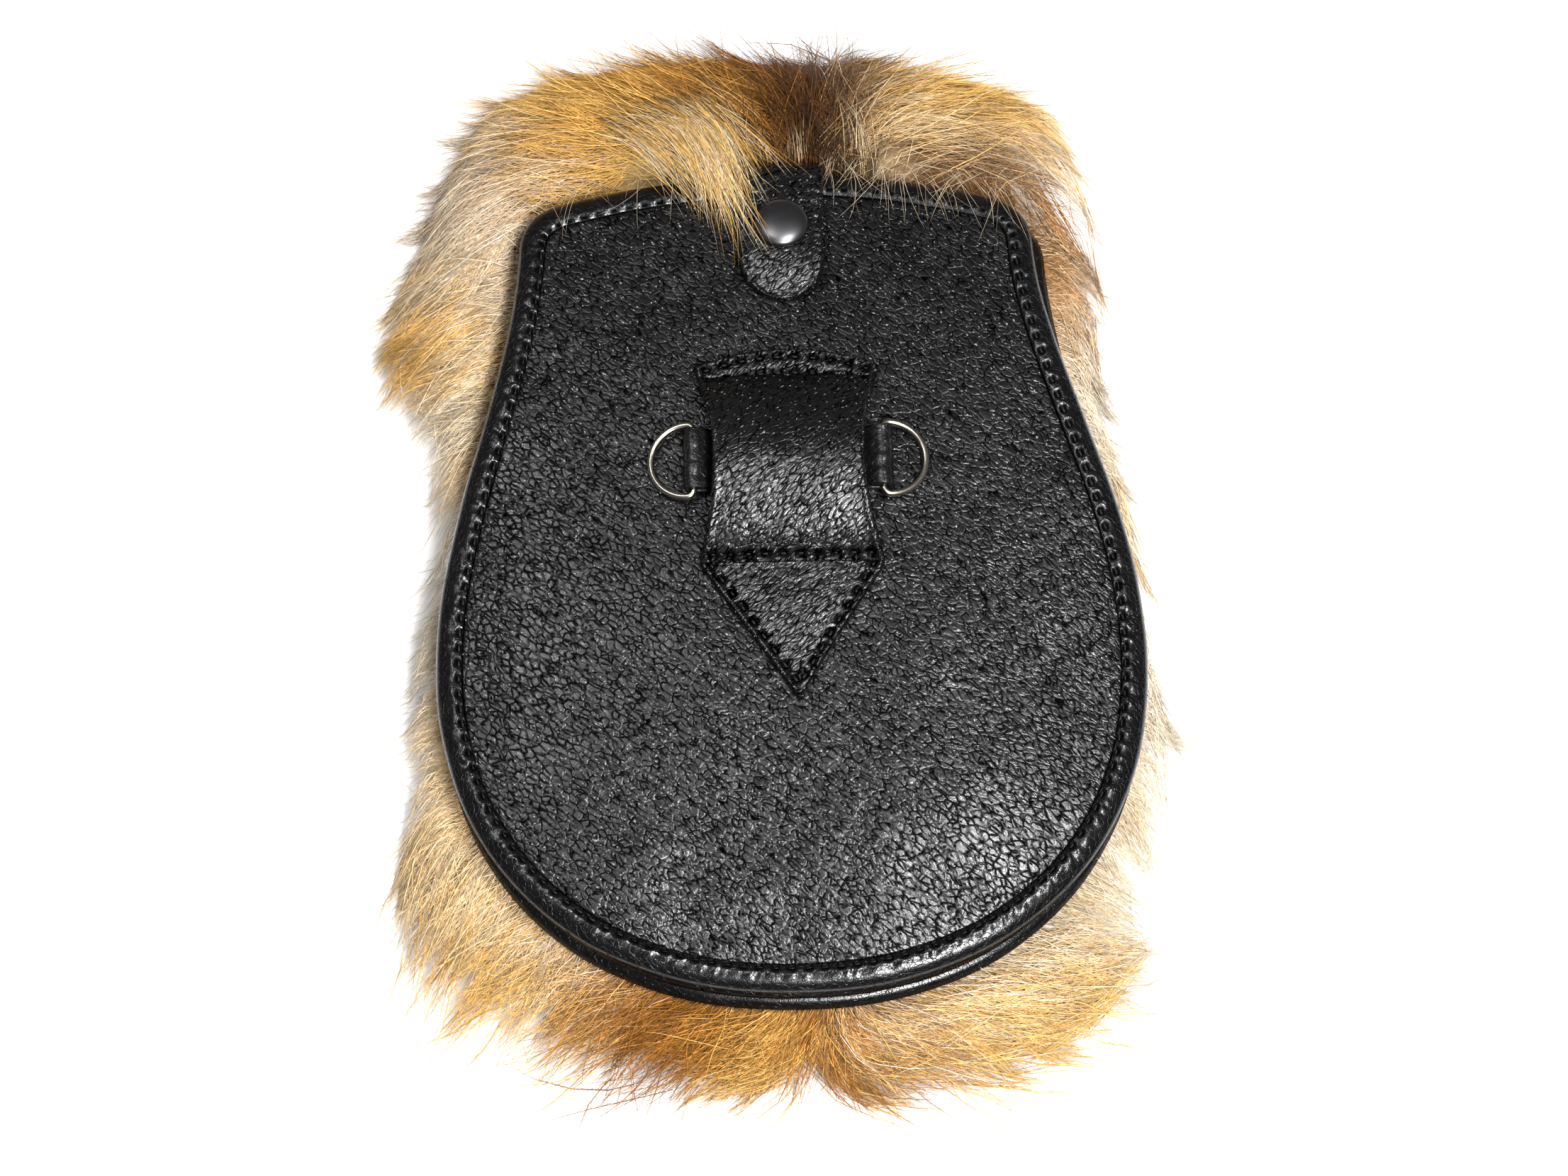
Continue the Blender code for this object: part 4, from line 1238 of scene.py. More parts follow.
def guide_lines(tips, lengths, steps, angle):
    """Lines from root to tip: from each tip the combing, turned by an angle, is followed backwards."""
    line = [tips]
    for _ in range(steps - 1):
        here = line[-1]
        half = here - turned(comb_way(here), angle) * (lengths / (steps - 1) / 2)[:, None]
        line.append(here - turned(comb_way(half), angle) * (lengths / (steps - 1))[:, None])
    return np.stack(line[::-1], axis=1)


def strand_tones(chance, base, count, steps, root=0.72, tip=1.15, dark_tips=0.0):
    """A colour for each point: the strand's own colour, darker at the root and paler or sable at the tip."""
    share = np.linspace(0, 1, steps)
    shade = root + (1 - root) * smoothstep(share * 1.6)
    shade = shade * (1 + (tip - 1) * smoothstep((share - 0.6) / 0.4))
    warm = (1 - shade[:, None]) * np.array([0.0, 0.20, 0.42])
    tone = base[:, None] * (shade[:, None] * (1 - warm))[None]
    sable = linear(HAIR["sable"])
    dark = (chance.random(count) < dark_tips)[:, None] * smoothstep((share - 0.45) / 0.45)[None, :]
    tone = tone * (1 - 0.8 * dark[..., None]) + sable * 0.8 * dark[..., None]
    return np.concatenate([np.repeat(tone[:, :-1], HAIR_SIDES, axis=1), tone[:, -1:]], axis=1).reshape(-1, 3)


def spread_hairs(chance, guides, per, root_spread, tip_spread, shortest, stray):
    """Hairs about their clump's guide line, seen from above, with how far each lies from its clump's middle.

    A hair is its guide line moved sideways by an offset that shrinks from the root's spread to the tip's,
    bent by a slow wave, turned aside towards its tip, slid along itself, and cut to its own length.
    """
    clumps, steps = guides.shape[:2]
    count = clumps * per
    own = np.repeat(guides, per, axis=0)
    share = np.linspace(0, 1, steps)
    cut = chance.uniform(shortest, 1.0, count)
    where = cut[:, None] * share[None, :] * (steps - 1)
    step = np.minimum(where.astype(int), steps - 2)
    part = (where - step)[..., None]
    rows = np.arange(count)[:, None]
    line = own[rows, step] * (1 - part) + own[rows, step + 1] * part
    slide = np.repeat(chance.normal(0, 0.0016, clumps), per) + chance.normal(0, 0.0024, count)
    direction = unit(np.gradient(line[..., :2], axis=1))
    beside = np.dstack([-direction[..., 1], direction[..., 0]])
    offset = chance.normal(0, 0.5, count).clip(-1.2, 1.2)
    narrowing = tip_spread + (root_spread - tip_spread) * (1 - share) ** 1.3
    wave = chance.normal(0, 0.00055, count)[:, None]
    wave = wave * np.sin(share * 5.0 + chance.uniform(0, 6.28, count)[:, None])
    aside = chance.normal(0, 1, count)[:, None] * stray * share**2
    sideways = offset[:, None] * narrowing + wave + aside
    line[..., :2] += beside * sideways[..., None] + direction * slide[:, None, None]
    return line, offset


def clump_hairs(chance, top, tips, lengths, per, steps, spreads, lift, turn, depth, stray):
    """Clumps of hair that follow the combing to their tips, and cross each other most by the whorl.

    A hair's height is the fur's top less its depth in the clump, and hair that lies deeper is given a darker
    colour as painted shade. A clump's tips are lifted together, most by the mouth. Hair that comes out from
    under the leather stays below the front panel there. The spreads are the clump's widths at root and tip.
    """
    clumps = len(tips)
    crossed = 1 + 2.4 * np.exp(-((tips - WHORL) ** 2).sum(axis=1) / (2 * WHORL_SIZE**2))
    guides = guide_lines(tips, lengths, steps, chance.normal(0, turn * crossed, clumps))
    line, offset = spread_hairs(chance, guides, per, *spreads, SHORTEST_HAIR, stray)
    count = clumps * per
    share = np.linspace(0, 1, steps)
    flat = line.reshape(-1, 2)
    below = np.repeat(chance.uniform(0.0, 0.0024, clumps), per)
    below = below + chance.uniform(0.0, 0.0016, count) + 0.0009 * offset**2
    height = top(flat).reshape(count, steps) - depth * below[:, None] * (1 - 0.35 * share)
    raised = chance.uniform(0.0, 1.0, clumps) ** 1.5 * (1 + 2.2 * smoothstep((tips[:, 1] - 0.095) / 0.030))
    raised = np.repeat(raised, per) * chance.uniform(0.6, 1.0, count)
    height = height + lift * share**2 * raised[:, None]
    height = np.minimum(height, HIGHEST_ROOT + HIGHEST_TIP * chance.random(count)[:, None] * share)
    beyond = beyond_rim(flat).reshape(count, steps)
    over = (lift + (1 - depth) * 0.0016) * smoothstep(beyond / 0.010)
    height = np.minimum(height, hair_ceiling(line, beyond) + over)
    height = np.maximum(height, 0.0003 + chance.uniform(0, 0.0005, count)[:, None])
    colour = pick_colours(chance, guides[:, steps // 2], per)
    # Painted shade: a hair's colour falls off with how deep it lies in its clump.
    return np.dstack([line, height]), colour * np.exp(-depth * below / 0.0090)[:, None]


def pick_colours(chance, place, per):
    """A colour for each hair: its clump takes one row of the combing near it, and hairs vary about that.

    One hair in eight is paler. A colour that would be too bright is darkened in proportion.
    """
    weight = comb_weights(place, 0.0100)
    chosen = (weight.cumsum(axis=1) > chance.random(len(place))[:, None]).argmax(axis=1)
    blend = weight @ COMB_COLOUR
    clump = COMB_COLOUR[chosen] * 0.6 + blend * 0.4
    clump = clump * np.exp(chance.normal(0, 0.15, len(place)))[:, None]
    colour = np.repeat(clump, per, axis=0) * np.exp(chance.normal(0, 0.22, len(place) * per))[:, None]
    pale = 1 + (chance.random(len(colour)) < 0.12)[:, None] * np.array([0.35, 0.45, 0.7])
    colour = colour * pale
    return (colour / np.maximum(colour.max(axis=1, keepdims=True) / BRIGHTEST, 1)).clip(0.003)


def make_undercoat(material):
    """The pelt's solid, remeshed finely, softened and drawn in a little, as the wool below the hair, in
    painted shade.

    Points past four fifths of the fur's reach are drawn in to less than half of what lies beyond. Gives the
    wool's points in the pouch's own frame.
    """
    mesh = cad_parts["fur_pelt"].data.copy()
    shape = bmesh.new()
    shape.from_mesh(mesh)
    bmesh.ops.remove_doubles(shape, verts=shape.verts, dist=0.00001)
    shape.to_mesh(mesh)
    shape.free()
    wool = bpy.data.objects.new("fur_undercoat", mesh)
    bpy.context.scene.collection.objects.link(wool)
    remesh = wool.modifiers.new("even faces", "REMESH")
    remesh.mode = "VOXEL"
    remesh.voxel_size = WOOL_VOXEL
    soften = wool.modifiers.new("soften", "SMOOTH")
    soften.factor = 0.5
    soften.iterations = 3
    graph = bpy.context.evaluated_depsgraph_get()
    made = bpy.data.meshes.new_from_object(wool.evaluated_get(graph))
    wool.modifiers.clear()
    wool.data = made
    bpy.data.meshes.remove(mesh)
    count = len(made.vertices)
    points, normals = np.empty(count * 3, np.float32), np.empty(count * 3, np.float32)
    made.vertices.foreach_get("co", points)
    made.vertices.foreach_get("normal", normals)
    points, normals = points.reshape(-1, 3).astype(float), normals.reshape(-1, 3)
    draw_in = 0.0009 + 0.0006 * soft_noise(points[:, 0], points[:, 1], 0.007, 61)
    points = points - normals * draw_in[:, None] - PLACE
    share = reach_share(points[:, :2])
    kept = np.where(share > 0.80, (0.80 + (share - 0.80) * 0.45) / share.clip(0.1), 1.0)
    points[:, :2] = FUR_MIDDLE + (points[:, :2] - FUR_MIDDLE) * kept[:, None]
    place = points[:, :2]
    beyond = beyond_rim(place)
    points[:, 2] = np.minimum(points[:, 2], hair_ceiling(place, beyond) - 0.0034)
    points += PLACE
    made.vertices.foreach_set("co", points.astype(np.float32).ravel())
    tone = comb_weights(place, 0.012) @ COMB_COLOUR
    # Painted shade: the wool is darkened to a little over half, and a quarter more inside and just past the
    # pouch's rim.
    shade = 0.56 + 0.12 * soft_noise(points[:, 0], points[:, 1], 0.006, 62)
    tone = tone * (shade * (0.75 + 0.25 * smoothstep(beyond / 0.012)))[:, None]
    layer = made.attributes.new("tone", "FLOAT_COLOR", "POINT")
    layer.data.foreach_set("color", np.column_stack([tone, np.ones(count)]).astype(np.float32).ravel())
    made.materials.clear()
    made.materials.append(material)
    made.shade_smooth()
    made.update()
    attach(wool, "pouch")
    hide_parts("fur_pelt")
    return points - PLACE


def spread_tips(chance, count, accept):
    """Random places round the pouch that pass a test, closest together just inside the fur's outline."""
    found = []
    while sum(map(len, found)) < count:
        place = np.column_stack([chance.uniform(-0.125, 0.120, 4000), chance.uniform(-0.150, 0.190, 4000)])
        share = reach_share(place)
        close = 0.32 + 0.68 * smoothstep((share - 0.74) / 0.18) - 0.55 * smoothstep((share - 0.97) / 0.07)
        likely = chance.random(len(place)) < close
        found.append(place[accept(place, share, beyond_rim(place)) & likely])
    return np.vstack(found)[:count]


def add_hair_piece(name, chance, curves, colour, radius, material, **tones):
    """Makes one mesh of hairs from their curves and colours.

    A hair that would leave the room round the solids, or that has its root outside the fur, is left out.
    """
    low_limit = np.array(cad_box[0]) - HAIR_ROOM - PLACE
    high_limit = np.array(cad_box[1]) + HAIR_ROOM - PLACE
    inside = ((curves > low_limit) & (curves < high_limit)).all(axis=(1, 2))
    inside &= reach_share(curves[:, 0, :2]) < 0.99
    curves, colour = curves[inside], colour[inside]
    points, faces = hairs(curves, radius * chance.uniform(0.75, 1.25, len(curves)))
    tone = strand_tones(chance, colour, len(curves), curves.shape[1], **tones)
    make_piece(name, points, faces, material, tone=tone)


def named_colours(chance, names, count):
    """A hair colour drawn from those named, for each hair."""
    return linear([HAIR[name] for name in names])[chance.integers(0, len(names), count)]


def tab_locks(chance):
    """The gold lock that falls over the mouth's edge and lies on the back beside the tab.

    Seven clumps and four thin wisps follow given lines, in millimetres, from the fur by the mouth over
    the border and down to their tips.
    """
    lines = np.array(
        [
            [(-52, 142, 30), (-42, 134, 37), (-33, 124, 41.5), (-25, 114, 42.5), (-20, 107, 42.5)],
            [(-44, 143, 31), (-34, 135, 38.5), (-27, 124, 42.5), (-20, 112, 43.5), (-17, 102, 43)],
            [(-37, 144, 31), (-28, 136, 39), (-21, 125, 43.5), (-17, 112, 45), (-16, 98, 43.5)],
            [(-30, 145, 31), (-23, 136, 39.5), (-17.5, 125, 44), (-14.5, 113, 46), (-13.5, 101, 45)],
            [(-40, 143, 31), (-31, 134, 39.5), (-23, 123, 44), (-18, 108, 45.5), (-15, 92, 43.5)],
            [(-28, 146, 30), (-20, 138, 38), (-14, 128, 43), (-10, 117, 47), (-5, 108, 48)],
            [(-30, 144, 32), (-23, 134, 40), (-18, 122, 44), (-12, 107, 46.5), (-4, 91, 46)],
        ]
    )
    wisps = np.array(
        [
            [(-36, 144, 32), (-27, 135, 40), (-19, 121, 44.5), (-14, 103, 45.5), (-13, 84, 42.5)],
            [(-32, 144, 32), (-24, 136, 40), (-17, 123, 45), (-11, 106, 47), (-1, 88, 46.5)],
            [(-42, 143, 31), (-33, 133, 38.5), (-24, 120, 43.5), (-18, 106, 44), (-15, 91, 42.8)],
            [(-24, 146, 31), (-15, 139, 39), (-8, 130, 44), (-1, 121, 47.5), (5, 113, 48)],
        ]
    )
    hair_counts = [80] * len(lines) + [16] * len(wisps)
    chosen = np.repeat(np.arange(len(hair_counts)), hair_counts)
    guides = np.stack([smooth_path(line, 6) for line in np.concatenate([lines, wisps]) / 1000])[chosen]
    line, offset = spread_hairs(chance, guides, 1, 0.0088, 0.0042, 0.36, 0.0030)
    lift = chance.uniform(-0.0016, 0.0022, len(line))[:, None] * np.linspace(1, 0.35, 6)
    line[..., 2] += lift - 0.0006 * offset[:, None] ** 2
    base = named_colours(chance, ("straw", "gold", "tan", "ochre", "cream"), len(line))
    colour = base * np.exp(chance.normal(0, 0.26, len(line)))[:, None]
    return line, colour.clip(0.01, 0.95)


def crossing_hairs(chance):
    """Single hairs that lean over the back's edge at the mouth: each rises over the border and falls.

    Most are to the right of the tab.
    """
    count = 110
    right = chance.random(count) < 0.76
    x = np.where(right, chance.uniform(0.012, 0.066, count), chance.uniform(-0.068, -0.030, count))
    root = np.column_stack([x, top_edge(x) + chance.uniform(0.001, 0.007, count)])
    way = np.radians(-90 + 0.4 * np.degrees(x) + chance.normal(0, 38, count))
    length = chance.uniform(0.005, 0.023, count)
    share = np.linspace(0, 1, 6)
    bend = chance.normal(0, 0.35, count)[:, None] * share
    heading = way[:, None] + bend
    step = np.dstack([np.cos(heading), np.sin(heading)]) * (length / 5)[:, None, None]
    flat = root[:, None] + np.cumsum(step, axis=1) - step[:, :1]
    rise = 0.0024 + chance.uniform(0.0, 0.0022, count)[:, None] * np.sin(math.pi * share) - 0.0010 * share
    height = back_height(flat[..., 0], flat[..., 1]) + rise - 0.002 * (1 - share) ** 3
    colour = named_colours(chance, ("cream", "straw", "tan", "cream"), count)
    return np.dstack([flat, height]), colour * chance.uniform(0.45, 1.0, count)[:, None]


def mid_side(place):
    """Whether a place is beside the pouch, between the mouth and the foot."""
    return (place[:, 1] <= SIDE_TOP) & (place[:, 1] > SIDE_FOOT)


def tips_by_mouth(place, share, beyond):
    """Places for tips by the mouth, a little further out at the left shoulder."""
    shoulder = 1.05 + 0.06 * smoothstep((-place[:, 0] - 0.05) / 0.03)
    return (place[:, 1] > SIDE_TOP) & (share < shoulder) & (beyond > 0.003)


def tips_at_left(place, share, beyond):
    """Places for tips beside the pouch's left side."""
    return mid_side(place) & (place[:, 0] < 0) & (share < 1.05) & (beyond > 0.002)


def tips_at_right(place, share, beyond):
    """Places for tips beside the pouch's right side, where they reach a little further out."""
    return mid_side(place) & (place[:, 0] > 0) & (share < 1.09) & (beyond > 0.002)


def tips_by_foot(place, share, beyond):
    """Places for tips round the foot."""
    return (place[:, 1] <= SIDE_FOOT) & (share < 1.05) & (beyond > 0.003)


def tips_all_round(place, share, beyond):
    """Places for tips anywhere outside the pouch's rim."""
    return (share < 1.08) & (beyond > 0.004)


def near_edge(least):
    """A test for places by the fur's outline, from that share of its reach to a little past it."""

    def accept(place, share, beyond):
        right = mid_side(place) & (place[:, 0] > 0)
        most = np.where(right, 1.02, np.where(place[:, 1] > 0.130, 1.06, 1.14))
        return (share > least) & (share < most) & (beyond > 0.004)

    return accept


# Clumped hair: name, clumps, points a hair, width at the root, spread of its turn, and where its tips lie
CLUMPED = (
    ("fur_mouth_side", 350, 5, 0.0065, 0.20, tips_by_mouth),
    ("fur_left_side", 280, 4, 0.0060, 0.20, tips_at_left),
    ("fur_right_side", 160, 4, 0.0050, 0.34, tips_at_right),
    ("fur_foot_side", 390, 4, 0.0065, 0.24, tips_by_foot),
)

# Loose hair: name, clumps, hairs a clump, points a hair, shortest and longest, width, lift, spread of its
# turn, where its tips lie, radius, and how bright its tips are and how many of them are sable
LOOSE = (
    ("guard_hairs", 1500, 2, 4, (0.028, 0.050), 0.0050, 0.008, 0.36, near_edge(0.60), FINE_HAIR, 1.1, 0.3),
    ("fur_wisps", 2000, 1, 5, (0.028, 0.052), 0.0040, 0.014, 0.30, near_edge(0.86), THICK_HAIR, 0.60, 0.4),
    ("fur_haze", 4600, 1, 4, (0.014, 0.028), 0.0030, 0.004, 0.50, tips_all_round, FINE_HAIR, 1.1, 0.3),
)


def make_fur(wool_material, hair_material):
    """The fur: wool, clumped hair by regions, the lock by the tab, stray hairs, loose hairs and the face."""
    chance = np.random.default_rng(7)
    wool = make_undercoat(wool_material)
    top = FurTop(wool)
    for name, clumps, steps, width, turn, accept in CLUMPED:
        tips = spread_tips(chance, clumps, accept)
        lengths = chance.uniform(0.022, 0.040, clumps)
        spreads = (width, 0.0015)
        curves, colour = clump_hairs(
            chance, top, tips, lengths, HAIRS_A_CLUMP, steps, spreads, lift=0.005, turn=turn, depth=1.0,
            stray=0.0015,
        )
        add_hair_piece(name, chance, curves, colour, THICK_HAIR, hair_material, dark_tips=0.08)
    add_hair_piece("fur_tab_lock", chance, *tab_locks(chance), 0.00011, hair_material, root=0.75)
    add_hair_piece("fur_over_edge", chance, *crossing_hairs(chance), 0.00007, hair_material, root=0.9)
    for name, count, per, steps, reach, width, lift, turn, accept, radius, tip, dark in LOOSE:
        tips = spread_tips(chance, count, accept)
        lengths = chance.uniform(*reach, count)
        spreads = (width, width)
        curves, colour = clump_hairs(
            chance, top, tips, lengths, per, steps, spreads, lift=lift, turn=turn, depth=0.1, stray=0.003
        )
        add_hair_piece(
            name, chance, curves, colour, radius, hair_material, root=0.75, tip=tip, dark_tips=dark
        )
    make_face_hair(chance, hair_material)


def make_face_hair(chance, material):
    """Broad strands over the fur's face, which lies on the ground, combed from the mouth to the foot."""
    count, steps = 1500, 4
    x = chance.uniform(-0.100, 0.100, 3 * count)
    y = chance.uniform(-0.140, 0.150, 3 * count)
    place = np.column_stack([x, y])
    share = reach_share(place)
    place = place[share < 0.86][:count]
    way = np.radians(-90 + 55 * (place[:, 0] / 0.10)) + chance.normal(0, 0.16, len(place))
    length = chance.uniform(0.024, 0.038, len(place))
    share = np.linspace(-0.5, 0.5, steps)
    step = np.column_stack([np.cos(way), np.sin(way)]) * length[:, None]
    flat = place[:, None] + step[:, None] * share[:, None]
    height = 0.0006 + chance.uniform(0, 0.0010, len(place))[:, None] + 0.0016 * (0.5 - share)[None] ** 2
    curves = np.dstack([flat, height])
    colour = pick_colours(chance, place, 1)
    add_hair_piece("fur_face_hair", chance, curves, colour, 0.00034, material)


# ---- Materials ----


def fill_inputs(tree, made, inputs):
    """Gives a node's inputs their values, or links them to other nodes' outputs."""
    for name, value in inputs.items():
        if isinstance(value, bpy.types.NodeSocket):
            tree.links.new(value, made.inputs[name])
        else:
            made.inputs[name].default_value = value
    return made


def node(tree, kind, inputs=None, **settings):
    """A shader node with its settings, whose inputs are values or other nodes' outputs."""
    made = tree.nodes.new("ShaderNode" + kind)
    for name, value in settings.items():
        setattr(made, name, value)
    return fill_inputs(tree, made, inputs or {})


def math_node(tree, operation, *values, clamp=False):
    """The result of one sum on values or other nodes' outputs."""
    return node(tree, "Math", dict(enumerate(values)), operation=operation, use_clamp=clamp).outputs[0]


def plus(tree, first, second, clamp=False):
    return math_node(tree, "ADD", first, second, clamp=clamp)


def minus(tree, first, second):
    return math_node(tree, "SUBTRACT", first, second)


def times(tree, first, second, clamp=False):
    return math_node(tree, "MULTIPLY", first, second, clamp=clamp)


def noise(tree, place, scale, detail):
    return node(tree, "TexNoise", {"Vector": place, "Scale": scale, "Detail": detail}).outputs[0]


def spread_range(tree, value, low, high, to_low=0.0, to_high=1.0):
    """A value's smooth step from low to high, spread from one result to the other."""
    inputs = {0: value, 1: low, 2: high, 3: to_low, 4: to_high}
    return node(tree, "MapRange", inputs, interpolation_type="SMOOTHSTEP").outputs[0]


def mix_colours(tree, share, first, second):
    return node(tree, "Mix", {0: share, 6: first, 7: second}, data_type="RGBA").outputs[2]


def grey(value):
    return (value, value, value, 1)


def add_bump(tree, shader, height, strength, depth):
    bump = node(tree, "Bump", {"Height": height, "Strength": strength, "Distance": depth})
    tree.links.new(bump.outputs[0], shader.inputs["Normal"])


def new_group(name, inputs, outputs):
    """A shader node group with named sockets: inputs as {name: (kind, default)}, outputs as {name: kind}."""
    tree = bpy.data.node_groups.new(name, "ShaderNodeTree")
    for label, (kind, value) in inputs.items():
        socket = tree.interface.new_socket(name=label, in_out="INPUT", socket_type="NodeSocket" + kind)
        if value is not None:
            socket.default_value = value
    for label, kind in outputs.items():
        tree.interface.new_socket(name=label, in_out="OUTPUT", socket_type="NodeSocket" + kind)
    return tree, tree.nodes.new("NodeGroupInput").outputs, tree.nodes.new("NodeGroupOutput").inputs


def use_group(tree, group, inputs):
    made = tree.nodes.new("ShaderNodeGroup")
    made.node_tree = group
    return fill_inputs(tree, made, inputs).outputs


def warped_place(tree, place, cells):
    """A place moved by up to 0.7 of a cell each way, by a noise of about two cells."""
    warp = node(tree, "TexNoise", {"Vector": place, "Scale": times(tree, cells, 0.45), "Detail": 2.0})
    shift = node(tree, "VectorMath", {0: warp.outputs["Color"], 1: (0.5, 0.5, 0.5)}, operation="SUBTRACT")
    size = math_node(tree, "DIVIDE", 1.4, cells)
    shift = node(tree, "VectorMath", {0: shift.outputs[0], "Scale": size}, operation="SCALE")
    return node(tree, "VectorMath", {0: place, 1: shift.outputs[0]}, operation="ADD").outputs[0]


def pebbled_grain_group():
    """Leather grain: warped pebbles parted by creases, with finer creases, pores and small raised points.

    The height is the sum of each pebble's plateau, dome, fine creases and own level, less the pores, plus
    the points. Hollow is the greater of the pores and the creases, which fade here and there by a noise; the
    leather paints shade with it, and paints glints with Speck.
    """
    tree, given, result = new_group(
        "pebbled_grain",
        {
            "Vector": ("Vector", None),
            "Cells per metre": ("Float", 420.0),
            "Crease width": ("Float", 0.16),
            "Fine share": ("Float", 0.35),
            "Pore share": ("Float", 0.5),
        },
        {"Height": "Float", "Hollow": "Float", "Speck": "Float", "Cell tone": "Float"},
    )
    cells = given["Cells per metre"]
    place = warped_place(tree, given["Vector"], cells)

    def pebbles(scale, feature):
        return node(tree, "TexVoronoi", {"Vector": place, "Scale": scale}, feature=feature).outputs

    edge = pebbles(cells, "DISTANCE_TO_EDGE")["Distance"]
    crease = spread_range(tree, edge, 0.0, given["Crease width"])
    dome = spread_range(tree, edge, 0.0, 0.55)
    fine = pebbles(times(tree, cells, 2.3), "DISTANCE_TO_EDGE")["Distance"]
    fine = spread_range(tree, fine, 0.0, 0.22)
    tone = node(tree, "SeparateColor", {0: pebbles(cells, "F1")["Color"]}).outputs[0]

    def spots(scale, small, large, kept):
        """Round spots, one to a cell in the leather's plane, in the share of the cells that is kept."""
        inputs = {"Vector": place, "Scale": times(tree, cells, scale)}
        found = node(tree, "TexVoronoi", inputs, feature="F1", voronoi_dimensions="2D").outputs
        chance = node(tree, "SeparateColor", {0: found["Color"]}).outputs[1]
        disc = spread_range(tree, found["Distance"], small, large, 1.0, 0.0)
        return times(tree, disc, math_node(tree, "LESS_THAN", chance, kept))

    pores = times(tree, spots(0.84, 0.07, 0.19, 0.65), given["Pore share"])
    specks = spots(0.86, 0.040, 0.105, 0.80)
    height = times(tree, crease, 0.50)
    parts = ((dome, 0.12), (fine, given["Fine share"]), (tone, 0.10), (pores, -0.4), (specks, 0.25))
    for part, share in parts:
        height = plus(tree, height, times(tree, part, share))
    fade = node(tree, "TexNoise", {"Vector": given["Vector"], "Scale": times(tree, cells, 0.9)}).outputs[0]
    fade = spread_range(tree, fade, 0.38, 0.56, 0.10, 1.0)
    hollow = times(tree, minus(tree, 1.0, crease), fade)
    hollow = math_node(tree, "MAXIMUM", hollow, pores)
    for label, value in (("Height", height), ("Hollow", hollow), ("Speck", specks), ("Cell tone", tone)):
        tree.links.new(value, result[label])
    return tree


def new_material(name):
    """A material with its node tree, its shader and the coordinates of the piece it's on."""
    material = bpy.data.materials.new(name)
    material.use_nodes = True
    tree = material.node_tree
    shader = tree.nodes["Principled BSDF"]
    place = node(tree, "TexCoord").outputs["Object"]
    return material, tree, shader, place


FINE_SHARE = 0.12
LEAST_ROUGHNESS = 0.14
# How many pores show, and the grey of the raised points that are painted pale as glints.
GRAINED = {"pores": 0.9, "painted_glint": 0.24}
SMOOTH = {"pores": 0.1, "painted_glint": 0.01}


def leather_material(
    name, grain, cells, crease, dark, pale, roughness, depth, pores, painted_glint, turn=0.0, stretch=1.0, shine=0.45
):
    """Black leather: pebbles, painted shade in hollows and pits, painted glints on raised points, slow
    drifts of gloss.

    The grain is turned about the upright axis and drawn out along its own first axis by the stretch.
    As painted shade, hollows and stitch pits are darkened and get a metallic share of their black colour,
    which takes their shine away.
    """
    material, tree, shader, place = new_material(name)
    turned_place = node(tree, "Mapping", {"Vector": place, "Rotation": (0, 0, turn)}).outputs[0]
    drawn = node(tree, "Mapping", {"Vector": turned_place, "Scale": (1 / stretch, stretch, 1)}).outputs[0]
    inputs = {"Vector": drawn, "Cells per metre": cells, "Fine share": FINE_SHARE}
    found = use_group(tree, grain, {**inputs, "Pore share": pores, "Crease width": crease})
    # The seam attribute marks the stitch pits, which get painted shade below.
    seam = node(tree, "Attribute", attribute_name="seam", attribute_type="GEOMETRY").outputs["Fac"]
    drift = noise(tree, place, 30.0, 4.0)
    smear = noise(tree, place, 150.0, 3.0)
    # Painted shade: the hollows and the stitch pits darken the colour and, through a metallic share, lose
    # their shine.
    hollow_shade = plus(tree, found["Hollow"], seam, clamp=True)
    open_share = minus(tree, 1.0, hollow_shade)
    share = times(tree, plus(tree, 0.35, found["Cell tone"]), plus(tree, 0.4, drift))
    share = times(tree, share, open_share, clamp=True)
    colour = mix_colours(tree, share, (*dark, 1), (*pale, 1))
    # Painted glints: the raised points are painted pale, standing in for their highlights.
    points = times(tree, found["Speck"], open_share)
    colour = mix_colours(tree, points, colour, (painted_glint, painted_glint, painted_glint * 1.04, 1))
    tree.links.new(colour, shader.inputs["Base Color"])
    tree.links.new(hollow_shade, shader.inputs["Metallic"])
    gloss = math_node(tree, "MULTIPLY_ADD", minus(tree, smear, 0.5), 0.26, roughness)
    gloss = math_node(tree, "MULTIPLY_ADD", found["Speck"], -0.12, gloss)
    gloss = math_node(tree, "MULTIPLY_ADD", hollow_shade, 0.4, gloss)
    tree.links.new(math_node(tree, "MAXIMUM", gloss, LEAST_ROUGHNESS), shader.inputs["Roughness"])
    add_bump(tree, shader, found["Height"], 1.0, depth)
    shader.inputs["Specular IOR Level"].default_value = shine
    return material


def thread_material():
    """Waxed black thread, with the lay of its strands as slanting ridges from its own UV map."""
    material, tree, shader, _ = new_material("waxed_thread")
    uv = node(tree, "TexCoord").outputs["UV"]
    drawn = node(tree, "Mapping", {"Vector": uv, "Scale": (1, 0.002, 1)}).outputs[0]
    inputs = {"Vector": drawn, "Scale": 900.0, "Distortion": 1.0}
    lay = node(tree, "TexWave", inputs, bands_direction="DIAGONAL").outputs[1]
    tree.links.new(mix_colours(tree, lay, grey(0.002), grey(0.008)), shader.inputs["Base Color"])
    shader.inputs["Roughness"].default_value = 0.62
    shader.inputs["Specular IOR Level"].default_value = 0.25
    add_bump(tree, shader, lay, 0.8, 0.00006)
    return material


